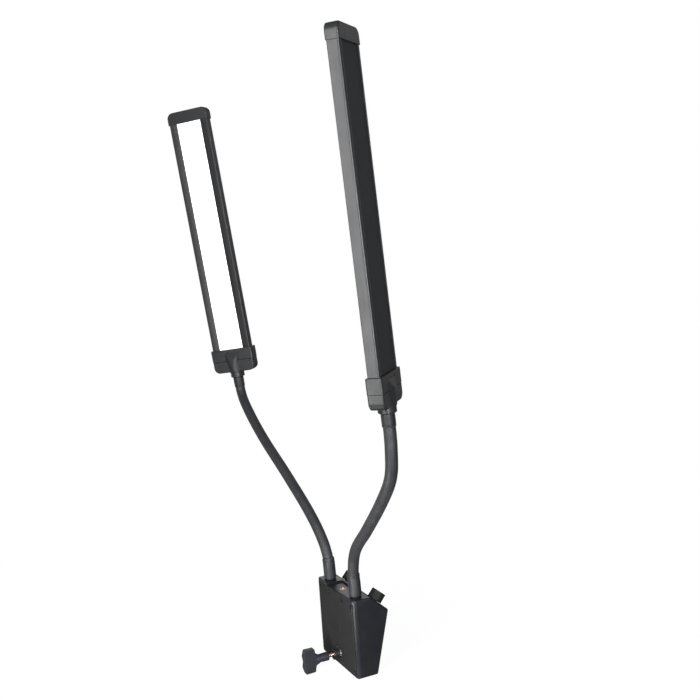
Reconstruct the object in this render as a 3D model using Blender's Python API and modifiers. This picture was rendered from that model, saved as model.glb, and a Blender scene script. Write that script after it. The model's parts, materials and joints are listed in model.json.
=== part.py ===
"""Twin-arm gooseneck LED lamp: a control box on a stand spigot, two flexible arms and two light bars.

Metres, +Z up. The origin is the middle of the stop at the end of the stand socket, where the spigot's tip
rests. The lit side of the lamp is -Y, the control panel is on +Y, and +X is the right arm. The functions
below measure heights from the box's bottom, and build() sets the finished lamp on the origin.
"""

import math

import bmesh
import bpy
from mathutils import Matrix, Vector

# ---- control box ---------------------------------------------------------------------------------------
BOX_WIDTH = 0.124
BOX_HEIGHT = 0.116
COVER_Y = -0.017  # outer face of the flat cover
TOP_FRONT_Y = 0.012  # where the flat top ends
SLOPE_END = (0.041, 0.092)  # y, z of the lower edge of the sloping control panel
BOTTOM_FRONT_Y = 0.017
RIM = 0.0025  # the housing's edge around the cover
FLOOR_WALL = 0.003
SIDE_WALL = 0.0035
TOP_WALL = 0.0055
EDGE_ROUND = 0.0045
GAP = 0.0003  # clearance between touching pieces
CUT_PAST = 0.01  # how far a cutter runs past the face it opens

COVER_THICKNESS = 0.0035
COVER_CORNER = 0.0027
POCKET_HALF_WIDTH = 0.026
POCKET_DEPTH = 0.0027
POCKET_FRONT_Y = 0.009

SCREW_PLACES = {
    "cover_screw_top_left": (-0.053, 0.106),
    "cover_screw_top_right": (0.053, 0.106),
    "cover_screw_bottom_left": (-0.053, 0.009),
    "cover_screw_bottom_right": (0.053, 0.009),
    "cover_screw_mid_left": (-0.0215, 0.105),
    "cover_screw_mid_right": (0.0215, 0.105),
}
SCREW_HEAD_RADIUS = 0.0027
SCREW_HEAD_HEIGHT = 0.0015
SCREW_SHANK_RADIUS = 0.0014
SCREW_LENGTH = 0.0055
SCREW_TIP = 0.0004
SCREW_SINK = 0.0009  # how far the head lies below the cover's face
SCREW_KEY = (0.0011, 0.0009)  # radius and depth of the hexagon in its head
CORNER_POST_X = (0.0505, 0.0605)  # inner and outer side of the posts that the screws bite into
MID_POST_X = (0.0185, 0.0245)
POST_END_Y = -0.007
POST_TOP = 0.1125
POST_LOW = 0.0015

# ---- stand socket and its lock screw -------------------------------------------------------------------
SOCKET_BORE = 0.0081  # radius, for a 16 mm (5/8 inch) spigot
SOCKET_RADIUS = 0.0115
SOCKET_FLANGE = (0.013, 0.003)  # radius and height
SOCKET_DEPTH = 0.045
SOCKET_ROOF = 0.003
STOP_RADIUS = 0.007
STOP_HEIGHT = 0.0005
LOCK_Z = 0.0175
LOCK_SHAFT_RADIUS = 0.003
LOCK_SHAFT_TIP_Y = -0.0109
LOCK_SHAFT_GRIP = 0.012  # how far the shaft runs into the handle
LOCK_PAD = (0.0024, -0.0106, -0.0084)  # radius, outer and inner end
LOCK_BOSS_RADIUS = 0.0082
LOCK_BOSS_END_Y = -0.0256
LOCK_RING_RADIUS = 0.0102
LOCK_RING_SINK = 0.0009
LOCK_RING_RISE = 0.0006
LOCK_HUB_RADIUS = 0.0065
LOCK_HUB_LENGTH = 0.009
LOCK_HUB_START_Y = -0.0336
LOCK_WAIST_RADIUS = 0.0052
LOCK_WING_START_Y = -0.052
LOCK_END_Y = -0.074
WING_HALF_HEIGHT = 0.018
WING_HALF_THICKNESS = 0.005

# ---- top insert, knobs and electronics -------------------------------------------------------------
NECK_X = 0.043
NECK_Y = -0.0025
INSERT_RADIUS = 0.0046
INSERT_BORE = 0.0026
INSERT_LENGTH = 0.0075
INSERT_BOSS = ((-0.009, -0.0118, 0.1045), (0.009, 0.0068, 0.112))  # its two opposite corners
KNOB_X = 0.044
KNOB_RADIUS = 0.011
KNOB_HEIGHT = 0.0138
KNOB_STANDOFF = 0.0005
KNOB_SHAFT_RADIUS = 0.003
KNOB_SHAFT_END = 0.0101
BUSHING_RADIUS = 0.0044
BUSHING_END = 0.0024
ENCODER_HALF = 0.006
ENCODER_SPAN = (-0.0098, -0.0036)  # its body's back and front, measured from the panel's outer face
DISPLAY_HALF = (0.021, 0.0095)
DISPLAY_SPAN = (-0.0011, -0.0001)
JACK_X = -0.038
JACK_RADIUS = 0.0055

# ---- goosenecks ----------------------------------------------------------------------------------------
SLEEVE_RADIUS = 0.008
SLEEVE_BORE = 0.0063
CORE_RADIUS = 0.0057
BALL_RADIUS = 0.0044
STEM_RADIUS = 0.0024
CUP_RADIUS = 0.0047
CUP_DROP = 0.001  # the cup's rim lies this far below the ball's centre
SHOULDER_RISE = 0.0042  # the next link's shoulder lies this far above it
SLEEVE_CUT = 0.0034  # the sleeve stops this far from a joint
ROOT_START = -0.0125  # the hose starts this far below the box's top
ROOT_FLANGE_RADIUS = 0.008
BASE_COLLAR_START = 0.0009
BASE_COLLAR_HEIGHT = 0.03
BASE_COLLAR_RADIUS = 0.0092
HEAD_COLLAR_HEIGHT = 0.017
HEAD_COLLAR_RADIUS = 0.0089
FIRST_JOINT = 0.046  # arc length from the box's top to the lowest joint
LAST_JOINT = 0.05  # arc length from the highest joint to the head's hub
STRAIGHT_UNDER_HEAD = 0.021
COLLAR_GAP = 0.0018  # between the sleeve's flat end and the head collar
RING_STEP = 0.015  # spacing of the rings that a bent piece is made of
RING_MARGIN = 0.0015  # the least distance from such a ring to the piece's end
BORE_PAST = 0.004  # how far a hose bore's cutter runs past the sleeve's end

# Each arm's rest bend: the way from the box to the head as (distance outwards, height).
ARMS = {
    "left": {
        "side": -1,
        "way": [
            (0.0, 0.124),
            (0.006, 0.157),
            (0.040, 0.198),
            (0.114, 0.252),
            (0.198, 0.307),
            (0.252, 0.353),
        ],
        "head_base": Vector((-0.318, -0.035, 0.450)),
        "head_axis": Vector((-0.042, -0.095, 0.995)),
        "head_yaw": math.radians(47),
    },
    "right": {
        "side": 1,
        "way": [
            (0.0, 0.124),
            (-0.003, 0.150),
            (0.014, 0.186),
            (0.077, 0.235),
            (0.150, 0.294),
            (0.189, 0.335),
            (0.196, 0.372),
        ],
        "head_base": Vector((0.232, -0.033, 0.463)),
        "head_axis": Vector((-0.005, -0.059, 0.998)),
        "head_yaw": math.radians(-46),
    },
}

# ---- light heads: z along the bar from the bracket's top, x across, lit side on -y --------------------
BAR_LENGTH = 0.385
BAR_WIDTH = 0.069
BAR_DEPTH = 0.016
BAR_WALL = 0.002
BAR_TUCK_TOP = 0.008  # how far the extrusion runs up into the cap
BAR_TUCK_BOTTOM = 0.0055  # and down into the bracket
WINDOW_HALF = 0.0225
LIP_THICKNESS = 0.0015
BACK_RAIL = 0.003
WEB_FRONT_Y = 0.0
WEB_BACK_Y = 0.002
CAP_HEIGHT = 0.020
CAP_PROUD = 0.0017
CAP_DEPTH_PROUD = 0.0008
CORNER_ROUND = 0.010
BRACKET_HEIGHT = 0.040
BRACKET_SPLIT = -0.020
BRACKET_PROUD = 0.0032
BRACKET_DEPTH = 0.021
HUB_TOP_Z = -0.0062
HUB_FLANGE_Z = -0.0405
HUB_BOTTOM_Z = -0.0493
HUB_TOP_RADIUS = 0.016
HUB_LOW_RADIUS = 0.0128
HUB_FLANGE_RADIUS = 0.0118
FACET_RUN = 0.0047  # the hub's facet falls FACET_DROP while it runs this far out
FACET_DROP = 0.0125
FACET_REACH = 1.6  # how many such runs the facet's cutter covers
DIFFUSER_HALF = 0.0265
DIFFUSER_THICKNESS = 0.0016
LED_BOARD_HALF = 0.026
LED_BOARD_THICKNESS = 0.0014
GRILLE_THICKNESS = 0.0012

PARTS = "twin_arm_gooseneck_lamp"
CUTTERS = "cutters"

# colour, roughness, metallic
FINISHES = {
    "moulded": ((0.022, 0.023, 0.027), 0.42, 0.0),
    "coated_metal": ((0.030, 0.030, 0.034), 0.45, 0.3),
    "rubber": ((0.045, 0.045, 0.050), 0.75, 0.0),
    "steel": ((0.55, 0.55, 0.56), 0.30, 1.0),
    "brass": ((0.60, 0.42, 0.20), 0.30, 1.0),
    "mesh": ((0.010, 0.010, 0.012), 0.70, 0.2),
    "diffuser": ((0.90, 0.90, 0.88), 0.50, 0.0),
    "board": ((0.02, 0.10, 0.05), 0.55, 0.0),
    "window": ((0.008, 0.008, 0.010), 0.12, 0.0),
    "nylon": ((0.75, 0.73, 0.68), 0.50, 0.0),
}


# ---- helpers -------------------------------------------------------------------------------------------
def clear_scene():
    for item in list(bpy.data.objects):
        bpy.data.objects.remove(item, do_unlink=True)


def new_collection(name):
    collection = bpy.data.collections.new(name)
    bpy.context.scene.collection.children.link(collection)
    return collection


def add_object(name, data, helper=False):
    """Puts data in the parts collection, or in the cutters collection if it only shapes another piece."""
    item = bpy.data.objects.new(name, data)
    bpy.data.collections[CUTTERS if helper else PARTS].objects.link(item)
    if helper:
        item.hide_render = True
        item.display_type = "WIRE"
    return item


def finish_mesh(name, mesh_maker, helper=False):
    """An object from a new bmesh that mesh_maker fills."""
    mesh = bpy.data.meshes.new(name)
    shape = bmesh.new()
    mesh_maker(shape)
    shape.to_mesh(mesh)
    shape.free()
    return add_object(name, mesh, helper)


def block(name, low, high, helper=False):
    """An axis-aligned block between two corners."""
    low, high = Vector(low), Vector(high)
    size = high - low

    def fill(shape):
        bmesh.ops.create_cube(shape, size=1.0)
        bmesh.ops.scale(shape, vec=size, verts=shape.verts)
        bmesh.ops.translate(shape, vec=(low + high) / 2, verts=shape.verts)

    return finish_mesh(name, fill, helper)


def rod(name, radius, start, end, sides=24, helper=False):
    """A cylinder from start to end."""
    start, end = Vector(start), Vector(end)
    along = end - start
    turn = along.to_track_quat("Z", "Y").to_matrix().to_4x4()
    place = Matrix.Translation((start + end) / 2) @ turn

    def fill(shape):
        bmesh.ops.create_cone(
            shape,
            cap_ends=True,
            segments=sides,
            radius1=radius,
            radius2=radius,
            depth=along.length,
            matrix=place,
        )

    return finish_mesh(name, fill, helper)


def ball(name, radius, centre, along=(0, 0, 1), sides=12, helper=False):
    turn = Vector(along).to_track_quat("Z", "Y").to_matrix().to_4x4()

    def fill(shape):
        bmesh.ops.create_uvsphere(
            shape, u_segments=sides, v_segments=8, radius=radius, matrix=Matrix.Translation(centre) @ turn
        )

    return finish_mesh(name, fill, helper)


def curve_to_mesh(item, helper=False):
    """Turns a curve object into a welded mesh object in the same place and removes the curve."""
    bpy.context.view_layer.update()
    graph = bpy.context.evaluated_depsgraph_get()
    mesh = bpy.data.meshes.new_from_object(item.evaluated_get(graph))
    shape = bmesh.new()
    shape.from_mesh(mesh)
    bmesh.ops.remove_doubles(shape, verts=shape.verts, dist=1e-6)
    shape.to_mesh(mesh)
    shape.free()
    name = item.name
    place = item.matrix_world.copy()
    bpy.data.objects.remove(item, do_unlink=True)
    made = add_object(name, mesh, helper)
    made.matrix_world = place
    return made


def sheet(name, points, low, high, facing, helper=False):
    """A flat outline extruded from low to high along facing.

    "X" takes (y, z) points, "Y" takes (x, z) and "Z" takes (x, y).
    """
    curve = bpy.data.curves.new(name, "CURVE")
    curve.dimensions = "2D"
    curve.fill_mode = "BOTH"
    curve.extrude = (high - low) / 2
    spline = curve.splines.new("POLY")
    spline.points.add(len(points) - 1)
    for point, (u, v) in zip(spline.points, points):
        point.co = (u, v, 0, 1)
    spline.use_cyclic_u = True
    item = add_object(name, curve, helper)
    middle = (low + high) / 2
    if facing == "X":
        columns = ((0, 1, 0), (0, 0, 1), (1, 0, 0))
        offset = (middle, 0, 0)
    elif facing == "Y":
        columns = ((1, 0, 0), (0, 0, 1), (0, -1, 0))
        offset = (0, middle, 0)
    else:
        columns = ((1, 0, 0), (0, 1, 0), (0, 0, 1))
        offset = (0, 0, middle)
    turn = Matrix(columns).transposed().to_4x4()
    item.matrix_world = Matrix.Translation(offset) @ turn
    made = curve_to_mesh(item, helper)
    made.data.transform(made.matrix_world)
    made.matrix_world = Matrix.Identity(4)
    return made


def rounded_rectangle(half_x, low_z, high_z, radius, corners="all", steps=3):
    """Outline of a rectangle with round corners; corners is "all", "top" or "bottom"."""
    round_top = corners in ("all", "top")
    round_low = corners in ("all", "bottom")
    places = [
        (half_x, low_z, -90, round_low),
        (half_x, high_z, 0, round_top),
        (-half_x, high_z, 90, round_top),
        (-half_x, low_z, 180, round_low),
    ]
    points = []
    for x, z, start, is_round in places:
        if not is_round:
            points.append((x, z))
            continue
        centre_x = x - math.copysign(radius, x)
        centre_z = z + radius if z == low_z else z - radius
        for step in range(steps + 1):
            angle = math.radians(start + 90 * step / steps)
            points.append((centre_x + radius * math.cos(angle), centre_z + radius * math.sin(angle)))
    return points


def turned(name, profile, steps=24, loop=False, helper=False):
    """A turned solid about Z.

    The profile of (radius, z) runs down the outer side, from axis to axis or as a loop.
    """
    count = len(profile)
    edges = [(i, (i + 1) % count) for i in range(count if loop else count - 1)]
    mesh = bpy.data.meshes.new(name)
    mesh.from_pydata([(radius, 0, z) for radius, z in profile], edges, [])
    item = add_object(name, mesh, helper)
    screw = item.modifiers.new("Turn", "SCREW")
    screw.axis = "Z"
    screw.steps = steps
    screw.render_steps = steps
    screw.use_merge_vertices = True
    screw.merge_threshold = 1e-5
    screw.use_smooth_shade = True
    return item


def ring(name, inner, outer, low, high, steps=24, chamfer=0.0, helper=False):
    """A turned tube about Z, with its outer edges chamfered if asked."""
    if chamfer:
        outside = [
            (outer - chamfer, high),
            (outer, high - chamfer),
            (outer, low + chamfer),
            (outer - chamfer, low),
        ]
    else:
        outside = [(outer, high), (outer, low)]
    return turned(name, [(inner, high), *outside, (inner, low)], steps, True, helper)


def tube_along(name, points, radius, resolution, helper=False):
    """A round rod swept along points."""
    curve = bpy.data.curves.new(name, "CURVE")
    curve.dimensions = "3D"
    curve.bevel_depth = radius
    curve.bevel_resolution = resolution
    curve.use_fill_caps = True
    spline = curve.splines.new("POLY")
    spline.points.add(len(points) - 1)
    for point, place in zip(spline.points, points):
        point.co = (*place, 1)
    return curve_to_mesh(add_object(name, curve, helper), helper)


def combine(item, other, operation):
    """Adds a Boolean of item with the helper other."""
    modifier = item.modifiers.new(operation.title(), "BOOLEAN")
    modifier.operation = operation
    modifier.object = other
    modifier.solver = "EXACT"


def cut(item, *cutters):
    for cutter in cutters:
        combine(item, cutter, "DIFFERENCE")


def add(item, *pieces):
    for piece in pieces:
        combine(item, piece, "UNION")


def round_edges(item, width, segments=2, angle=35):
    bevel = item.modifiers.new("Round", "BEVEL")
    bevel.width = width
    bevel.segments = segments
    bevel.limit_method = "ANGLE"
    bevel.angle_limit = math.radians(angle)


def paint(item, finish):
    """Gives a piece its material and smooth shading on round stretches."""
    colour, roughness, metallic = FINISHES[finish]
    material = bpy.data.materials.get(finish)
    if material is None:
        material = bpy.data.materials.new(finish)
        material.use_nodes = True
        shader = material.node_tree.nodes["Principled BSDF"]
        shader.inputs["Base Color"].default_value = (*colour, 1)
        shader.inputs["Roughness"].default_value = roughness
        shader.inputs["Metallic"].default_value = metallic
    item.data.materials.clear()
    item.data.materials.append(material)
    item.data.shade_smooth()
    item.data.set_sharp_from_angle(angle=math.radians(30))
    return item


def frame_empty(name, place, parent=None):
    """An empty that carries a moving group; place is its world matrix."""
    empty = bpy.data.objects.new(name, None)
    bpy.data.collections[PARTS].objects.link(empty)
    if parent is not None:
        empty.parent = parent
        empty.matrix_parent_inverse = parent.matrix_world.inverted()
    empty.matrix_world = place
    bpy.context.view_layer.update()
    return empty


def ride_on(empty, *items):
    """Hangs items, whose meshes are in the empty's own frame, on the empty."""
    for item in items:
        item.parent = empty


# ---- the slope the knobs stand on ----------------------------------------------------------------------
SLOPE_TOP = Vector((0, TOP_FRONT_Y, BOX_HEIGHT))
SLOPE_LOW = Vector((0, *SLOPE_END))
SLOPE_DOWN = (SLOPE_LOW - SLOPE_TOP).normalized()
SLOPE_OUT = Vector((0, -SLOPE_DOWN.z, SLOPE_DOWN.y))
SLOPE_MIDDLE = (SLOPE_TOP + SLOPE_LOW) / 2


def panel_frame(x):
    """World matrix whose z leaves the panel at its middle line and whose x is the world's."""
    columns = (Vector((1, 0, 0)), -SLOPE_DOWN, SLOPE_OUT)
    turn = Matrix(columns).transposed().to_4x4()
    return Matrix.Translation(SLOPE_MIDDLE + Vector((x, 0, 0))) @ turn


# The lock screw's frame: its z is world -Y.
LOCK_FRAME = Matrix.Translation((0, 0, LOCK_Z)) @ Matrix.Rotation(math.radians(90), 4, "X")


# ---- control box ---------------------------------------------------------------------------------------
def box_outline(inset_side, inset_top, open_to=None):
    """The box's side profile as (y, z), moved in by inset_side, and by inset_top under the flat top."""
    front_run = Vector((BOTTOM_FRONT_Y - SLOPE_END[0], -SLOPE_END[1]))
    front_in = Vector((front_run.y, -front_run.x)).normalized() * inset_side
    low_z = inset_side
    high_z = BOX_HEIGHT - inset_top
    slope_in = Vector((SLOPE_OUT.y, SLOPE_OUT.z)) * -inset_side
    slope_start = Vector((TOP_FRONT_Y, BOX_HEIGHT)) + slope_in
    slope_run = Vector((SLOPE_DOWN.y, SLOPE_DOWN.z))
    front_start = Vector(SLOPE_END) + front_in
    top_point = slope_start + slope_run * ((high_z - slope_start.y) / slope_run.y)
    across = slope_run.x * front_run.y - slope_run.y * front_run.x
    gap = front_start - slope_start
    step = (gap.x * front_run.y - gap.y * front_run.x) / across
    knee = slope_start + slope_run * step
    low_point = front_start + front_run * ((low_z - front_start.y) / front_run.y)
    back_y = COVER_Y if open_to is None else open_to
    return [(back_y, low_z), (low_point.x, low_z), tuple(knee), tuple(top_point), (back_y, high_z)]


def screw_posts():
    """Blocks inside the housing that the cover screws bite into."""
    posts = []
    for index, (x, z) in enumerate(SCREW_PLACES.values()):
        inner, outer = CORNER_POST_X if abs(x) > NECK_X else MID_POST_X
        low_x, high_x = sorted(math.copysign(reach, x) for reach in (inner, outer))
        low_z, high_z = (z - 0.005, POST_TOP) if z > BOX_HEIGHT / 2 else (POST_LOW, z + 0.004)
        start = (low_x, COVER_Y + 0.001, low_z)
        posts.append(block(f"post_{index}", start, (high_x, POST_END_Y, high_z), helper=True))
    return posts


def upright_hole(name, radius, x, y, z, half_length):
    """A cutter for a round hole along Z."""
    return rod(name, radius, (x, y, z - half_length), (x, y, z + half_length), 20, helper=True)


def housing():
    half = BOX_WIDTH / 2
    body = sheet("base_housing", box_outline(0, 0), -half, half, "X")
    round_edges(body, EDGE_ROUND, 3, 20)
    inner = half - SIDE_WALL
    cavity_outline = box_outline(FLOOR_WALL, TOP_WALL, COVER_Y - CUT_PAST)
    cavity = sheet("cavity_cutter", cavity_outline, -inner, inner, "X", helper=True)
    cut(body, cavity)
    add(body, *screw_posts(), block("insert_boss", *INSERT_BOSS, helper=True))

    opening_outline = rounded_rectangle(half - RIM, RIM, BOX_HEIGHT - RIM, COVER_CORNER + GAP)
    ledge_y = COVER_Y + COVER_THICKNESS + GAP
    opening = sheet("opening_cutter", opening_outline, COVER_Y - CUT_PAST, ledge_y, "Y", helper=True)
    pocket_low = (-POCKET_HALF_WIDTH, COVER_Y - CUT_PAST, BOX_HEIGHT - POCKET_DEPTH)
    pocket_high = (POCKET_HALF_WIDTH, POCKET_FRONT_Y, BOX_HEIGHT + CUT_PAST)
    pocket = block("pocket_cutter", pocket_low, pocket_high, helper=True)
    cut(body, opening, pocket)

    cut(
        body,
        upright_hole("socket_hole", SOCKET_RADIUS + 2 * GAP, 0, 0, 0, CUT_PAST),
        upright_hole("jack_hole", JACK_RADIUS + GAP, JACK_X, 0, 0, CUT_PAST),
        upright_hole("insert_hole", INSERT_RADIUS + GAP, 0, NECK_Y, BOX_HEIGHT, 1.5 * CUT_PAST),
    )
    for side in (-1, 1):
        neck_x = side * NECK_X
        neck_hole = upright_hole("neck_hole", CORE_RADIUS + GAP, neck_x, NECK_Y, BOX_HEIGHT, 1.4 * CUT_PAST)
        middle = SLOPE_MIDDLE + Vector((side * KNOB_X, 0, 0))
        through = SLOPE_OUT * (CUT_PAST / 2)
        ends = middle - through, middle + through
        knob_hole = rod("knob_hole", BUSHING_RADIUS + GAP, *ends, 20, helper=True)
        cut(body, neck_hole, knob_hole)

    half_x, half_y = DISPLAY_HALF
    window_low = (-half_x - GAP, -half_y - GAP, DISPLAY_SPAN[0] - GAP)
    window_seat = block("display_cutter", window_low, (half_x + GAP, half_y + GAP, CUT_PAST), helper=True)
    window_seat.matrix_world = panel_frame(0)
    cut(body, window_seat)
    bite_end_y = POST_END_Y - 0.001
    for x, z in SCREW_PLACES.values():
        start = (x, COVER_Y - CUT_PAST, z)
        cut(body, rod("screw_bite", SCREW_SHANK_RADIUS + GAP, start, (x, bite_end_y, z), 8, helper=True))
    paint(body, "moulded")


def cover():
    half = BOX_WIDTH / 2 - RIM - GAP
    outline = rounded_rectangle(half, RIM + GAP, BOX_HEIGHT - RIM - GAP, COVER_CORNER)
    plate = sheet("cover_plate", outline, COVER_Y, COVER_Y + COVER_THICKNESS, "Y")

    def hole(name, radius, x, z, end_y, sides):
        return rod(name, radius, (x, COVER_Y - CUT_PAST, z), (x, end_y, z), sides, helper=True)

    head_end = COVER_Y + SCREW_SINK + SCREW_HEAD_HEIGHT + GAP
    past = COVER_Y + COVER_THICKNESS + CUT_PAST
    for x, z in SCREW_PLACES.values():
        well = hole("screw_well", SCREW_HEAD_RADIUS + GAP, x, z, head_end, 12)
        cut(plate, well, hole("screw_through", SCREW_SHANK_RADIUS + GAP, x, z, past, 8))
    ring_seat = hole("ring_seat", LOCK_RING_RADIUS + GAP, 0, LOCK_Z, COVER_Y + LOCK_RING_SINK + GAP, 20)
    cut(plate, ring_seat, hole("boss_hole", LOCK_BOSS_RADIUS + 2 * GAP, 0, LOCK_Z, past, 20))
    paint(plate, "moulded")


def cover_screws():
    """Pan-head screws that lie below the cover's face, heads towards -Y."""
    top = SCREW_HEAD_HEIGHT
    profile = [
        (0, top),
        (SCREW_HEAD_RADIUS * 0.8, top),
        (SCREW_HEAD_RADIUS, top * 0.6),
        (SCREW_HEAD_RADIUS, 0),
        (SCREW_SHANK_RADIUS, 0),
        (SCREW_SHANK_RADIUS, -SCREW_LENGTH),
        (0, -SCREW_LENGTH - SCREW_TIP),
    ]
    key_radius, key_depth = SCREW_KEY
    seat_y = COVER_Y + SCREW_SINK + SCREW_HEAD_HEIGHT
    for name, (x, z) in SCREW_PLACES.items():
        screw = turned(name, profile, 8)
        place = Matrix.Translation((x, seat_y, z)) @ Matrix.Rotation(math.radians(90), 4, "X")
        screw.matrix_world = place
        socket = rod("hex_socket", key_radius, (0, 0, top - key_depth), (0, 0, top + 0.001), 6, helper=True)
        socket.matrix_world = place
        cut(screw, socket)
        paint(screw, "steel")


def stand_socket():
    """The metal cup for the stand's spigot, with a flange above the box's floor and a raised stop."""
    flange_low = FLOOR_WALL + GAP
    flange_radius, flange_height = SOCKET_FLANGE
    total = SOCKET_DEPTH + SOCKET_ROOF
    profile = [
        (0, total),
        (SOCKET_RADIUS, total),
        (SOCKET_RADIUS, flange_low + flange_height),
        (flange_radius, flange_low + flange_height),
        (flange_radius, flange_low),
        (SOCKET_RADIUS, flange_low),
        (SOCKET_RADIUS, 0),
        (SOCKET_BORE, 0),
        (SOCKET_BORE, SOCKET_DEPTH),
        (STOP_RADIUS, SOCKET_DEPTH),
        (STOP_RADIUS, SOCKET_DEPTH - STOP_HEIGHT),
        (0, SOCKET_DEPTH - STOP_HEIGHT),
    ]
    cup = turned("stand_socket", profile, 20)
    start = (0, -SOCKET_RADIUS - CUT_PAST, LOCK_Z)
    cut(cup, rod("lock_hole", LOCK_SHAFT_RADIUS + GAP, start, (0, 0, LOCK_Z), 16, helper=True))
    paint(cup, "steel")


def wing_outline():
    """The handle's two wings as (height, distance from the cover), with a waist where they meet the hub."""
    start, end = -LOCK_WING_START_Y, -LOCK_END_Y
    upper = [
        (0.0, start + 0.001),
        (LOCK_WAIST_RADIUS + 0.001, start - 0.001),
        (WING_HALF_HEIGHT, start + 0.004),
        (WING_HALF_HEIGHT, end - 0.001),
        (WING_HALF_HEIGHT * 0.55, end),
        (0.0, end - 0.003),
    ]
    return upper + [(-u, v) for u, v in reversed(upper[1:-1])]


def lock_group():
    """Boss, ring, pressure pad, shaft and winged handle of the lock screw, all on one axis along Y."""
    boss_start = SOCKET_RADIUS + 2 * GAP
    bore = LOCK_SHAFT_RADIUS + GAP
    boss = ring("lock_boss", bore, LOCK_BOSS_RADIUS, boss_start, -LOCK_BOSS_END_Y, 20, 0.0008)
    boss.matrix_world = LOCK_FRAME
    paint(boss, "coated_metal")
    ring_low, ring_high = -COVER_Y - LOCK_RING_SINK, -COVER_Y + LOCK_RING_RISE
    washer = ring("lock_ring", LOCK_BOSS_RADIUS + GAP, LOCK_RING_RADIUS, ring_low, ring_high, 20)
    washer.matrix_world = LOCK_FRAME
    paint(washer, "steel")

    pad_frame = frame_empty("lock_pad_frame", LOCK_FRAME)
    pad_radius, pad_outer, pad_inner = LOCK_PAD
    pad_profile = [(0, -pad_outer), (pad_radius, -pad_outer), (pad_radius, -pad_inner), (0, -pad_inner)]
    pad = turned("pressure_pad", pad_profile, 16)
    ride_on(pad_frame, pad)
    paint(pad, "nylon")

    screw_frame = frame_empty("lock_screw_frame", LOCK_FRAME, pad_frame)
    hub_start = -LOCK_HUB_START_Y
    tip, end = -LOCK_SHAFT_TIP_Y, hub_start + LOCK_SHAFT_GRIP
    radius = LOCK_SHAFT_RADIUS
    shaft = turned("lock_shaft", [(0, end), (radius, end), (radius, tip), (0, tip)], 16)
    paint(shaft, "brass")
    waist_end = -LOCK_WING_START_Y + 0.006
    handle_profile = [
        (0, waist_end),
        (LOCK_WAIST_RADIUS - 0.0002, waist_end),
        (LOCK_WAIST_RADIUS, -LOCK_WING_START_Y),
        (LOCK_HUB_RADIUS, hub_start + LOCK_HUB_LENGTH),
        (LOCK_HUB_RADIUS, hub_start),
        (LOCK_SHAFT_RADIUS + GAP, hub_start),
        (LOCK_SHAFT_RADIUS + GAP, end + GAP),
        (0, end + GAP),
    ]
    handle = turned("lock_handle", handle_profile, 20)
    wing = sheet("wing", wing_outline(), -WING_HALF_THICKNESS, WING_HALF_THICKNESS, "X", helper=True)
    round_edges(wing, 0.0012, 1, 30)
    wing.parent = screw_frame
    add(handle, wing)
    ride_on(screw_frame, shaft, handle)
    paint(handle, "moulded")


def thread_insert():
    top = BOX_HEIGHT - POCKET_DEPTH - 0.0002
    insert = ring("accessory_thread_insert", INSERT_BORE, INSERT_RADIUS, top - INSERT_LENGTH, top, 20)
    insert.location = (0, NECK_Y, 0)
    paint(insert, "brass")


def knob(name, x):
    place = panel_frame(x)
    empty = frame_empty(f"{name}_frame", place)
    bottom, top = KNOB_STANDOFF, KNOB_STANDOFF + KNOB_HEIGHT
    bore = KNOB_SHAFT_RADIUS + GAP
    recess_radius, recess_top = BUSHING_RADIUS + 0.0011, bottom + 0.0025
    profile = [
        (0, top),
        (KNOB_RADIUS - 0.0014, top),
        (KNOB_RADIUS - 0.0004, top - 0.001),
        (KNOB_RADIUS, bottom),
        (recess_radius, bottom),
        (recess_radius, recess_top),
        (bore, recess_top),
        (bore, KNOB_SHAFT_END + 0.0004),
        (0, KNOB_SHAFT_END + 0.0004),
    ]
    item = turned(name, profile, 20)
    ride_on(empty, item)
    paint(item, "moulded")


def encoder(name, x):
    """A rotary encoder: a square body under the panel, and a bushing and a shaft that pass through it."""
    back, front = ENCODER_SPAN
    body = block(name, (-ENCODER_HALF, -ENCODER_HALF, back), (ENCODER_HALF, ENCODER_HALF, front))
    root = (back + front) / 2
    profile = [
        (0, KNOB_SHAFT_END),
        (KNOB_SHAFT_RADIUS, KNOB_SHAFT_END),
        (KNOB_SHAFT_RADIUS, BUSHING_END),
        (BUSHING_RADIUS, BUSHING_END),
        (BUSHING_RADIUS, root),
        (0, root),
    ]
    shaft = turned(f"{name}_shaft", profile, 16, helper=True)
    body.matrix_world = panel_frame(x)
    shaft.matrix_world = panel_frame(x)
    add(body, shaft)
    paint(body, "steel")


def panel_parts():
    """Knobs, encoders, display window and the board behind the sloping panel."""
    for name, side in (("left", -1), ("right", 1)):
        knob(f"knob_{name}", side * KNOB_X)
        encoder(f"encoder_{name}", side * KNOB_X)

    half_x, half_y = DISPLAY_HALF
    back, front = DISPLAY_SPAN
    window = block("display_window", (-half_x, -half_y, back), (half_x, half_y, front))
    window.matrix_world = panel_frame(0)
    paint(window, "window")

    board_top = ENCODER_SPAN[0] - 0.0004
    board = block("control_board", (-0.052, -0.012, board_top - 0.0016), (0.052, 0.012, board_top))
    chip_low, chip_high = board_top - 0.0002, board_top + 0.0017
    chip = block("chip", (-0.008, -0.008, chip_low), (0.008, 0.008, chip_high), helper=True)
    board.matrix_world = panel_frame(0)
    chip.matrix_world = panel_frame(0)
    add(board, chip)
    paint(board, "board")


def driver_board():
    """The power board, upright in the middle of the box, with two coils and a heat sink."""
    back_y, front_y = -0.0066, -0.005
    board = block("driver_board", (-0.050, back_y, 0.052), (0.050, front_y, 0.098))
    paint(board, "board")
    root_y = front_y - 0.0005
    coils = []
    for x in (-0.024, 0.024):
        coils.append(rod("coil", 0.008, (x, root_y, 0.078), (x, 0.006, 0.078), 20, helper=True))
    sink = block("heat_sink", (-0.010, root_y, 0.058), (0.010, 0.008, 0.070), helper=True)
    add(board, *coils, sink)


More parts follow.
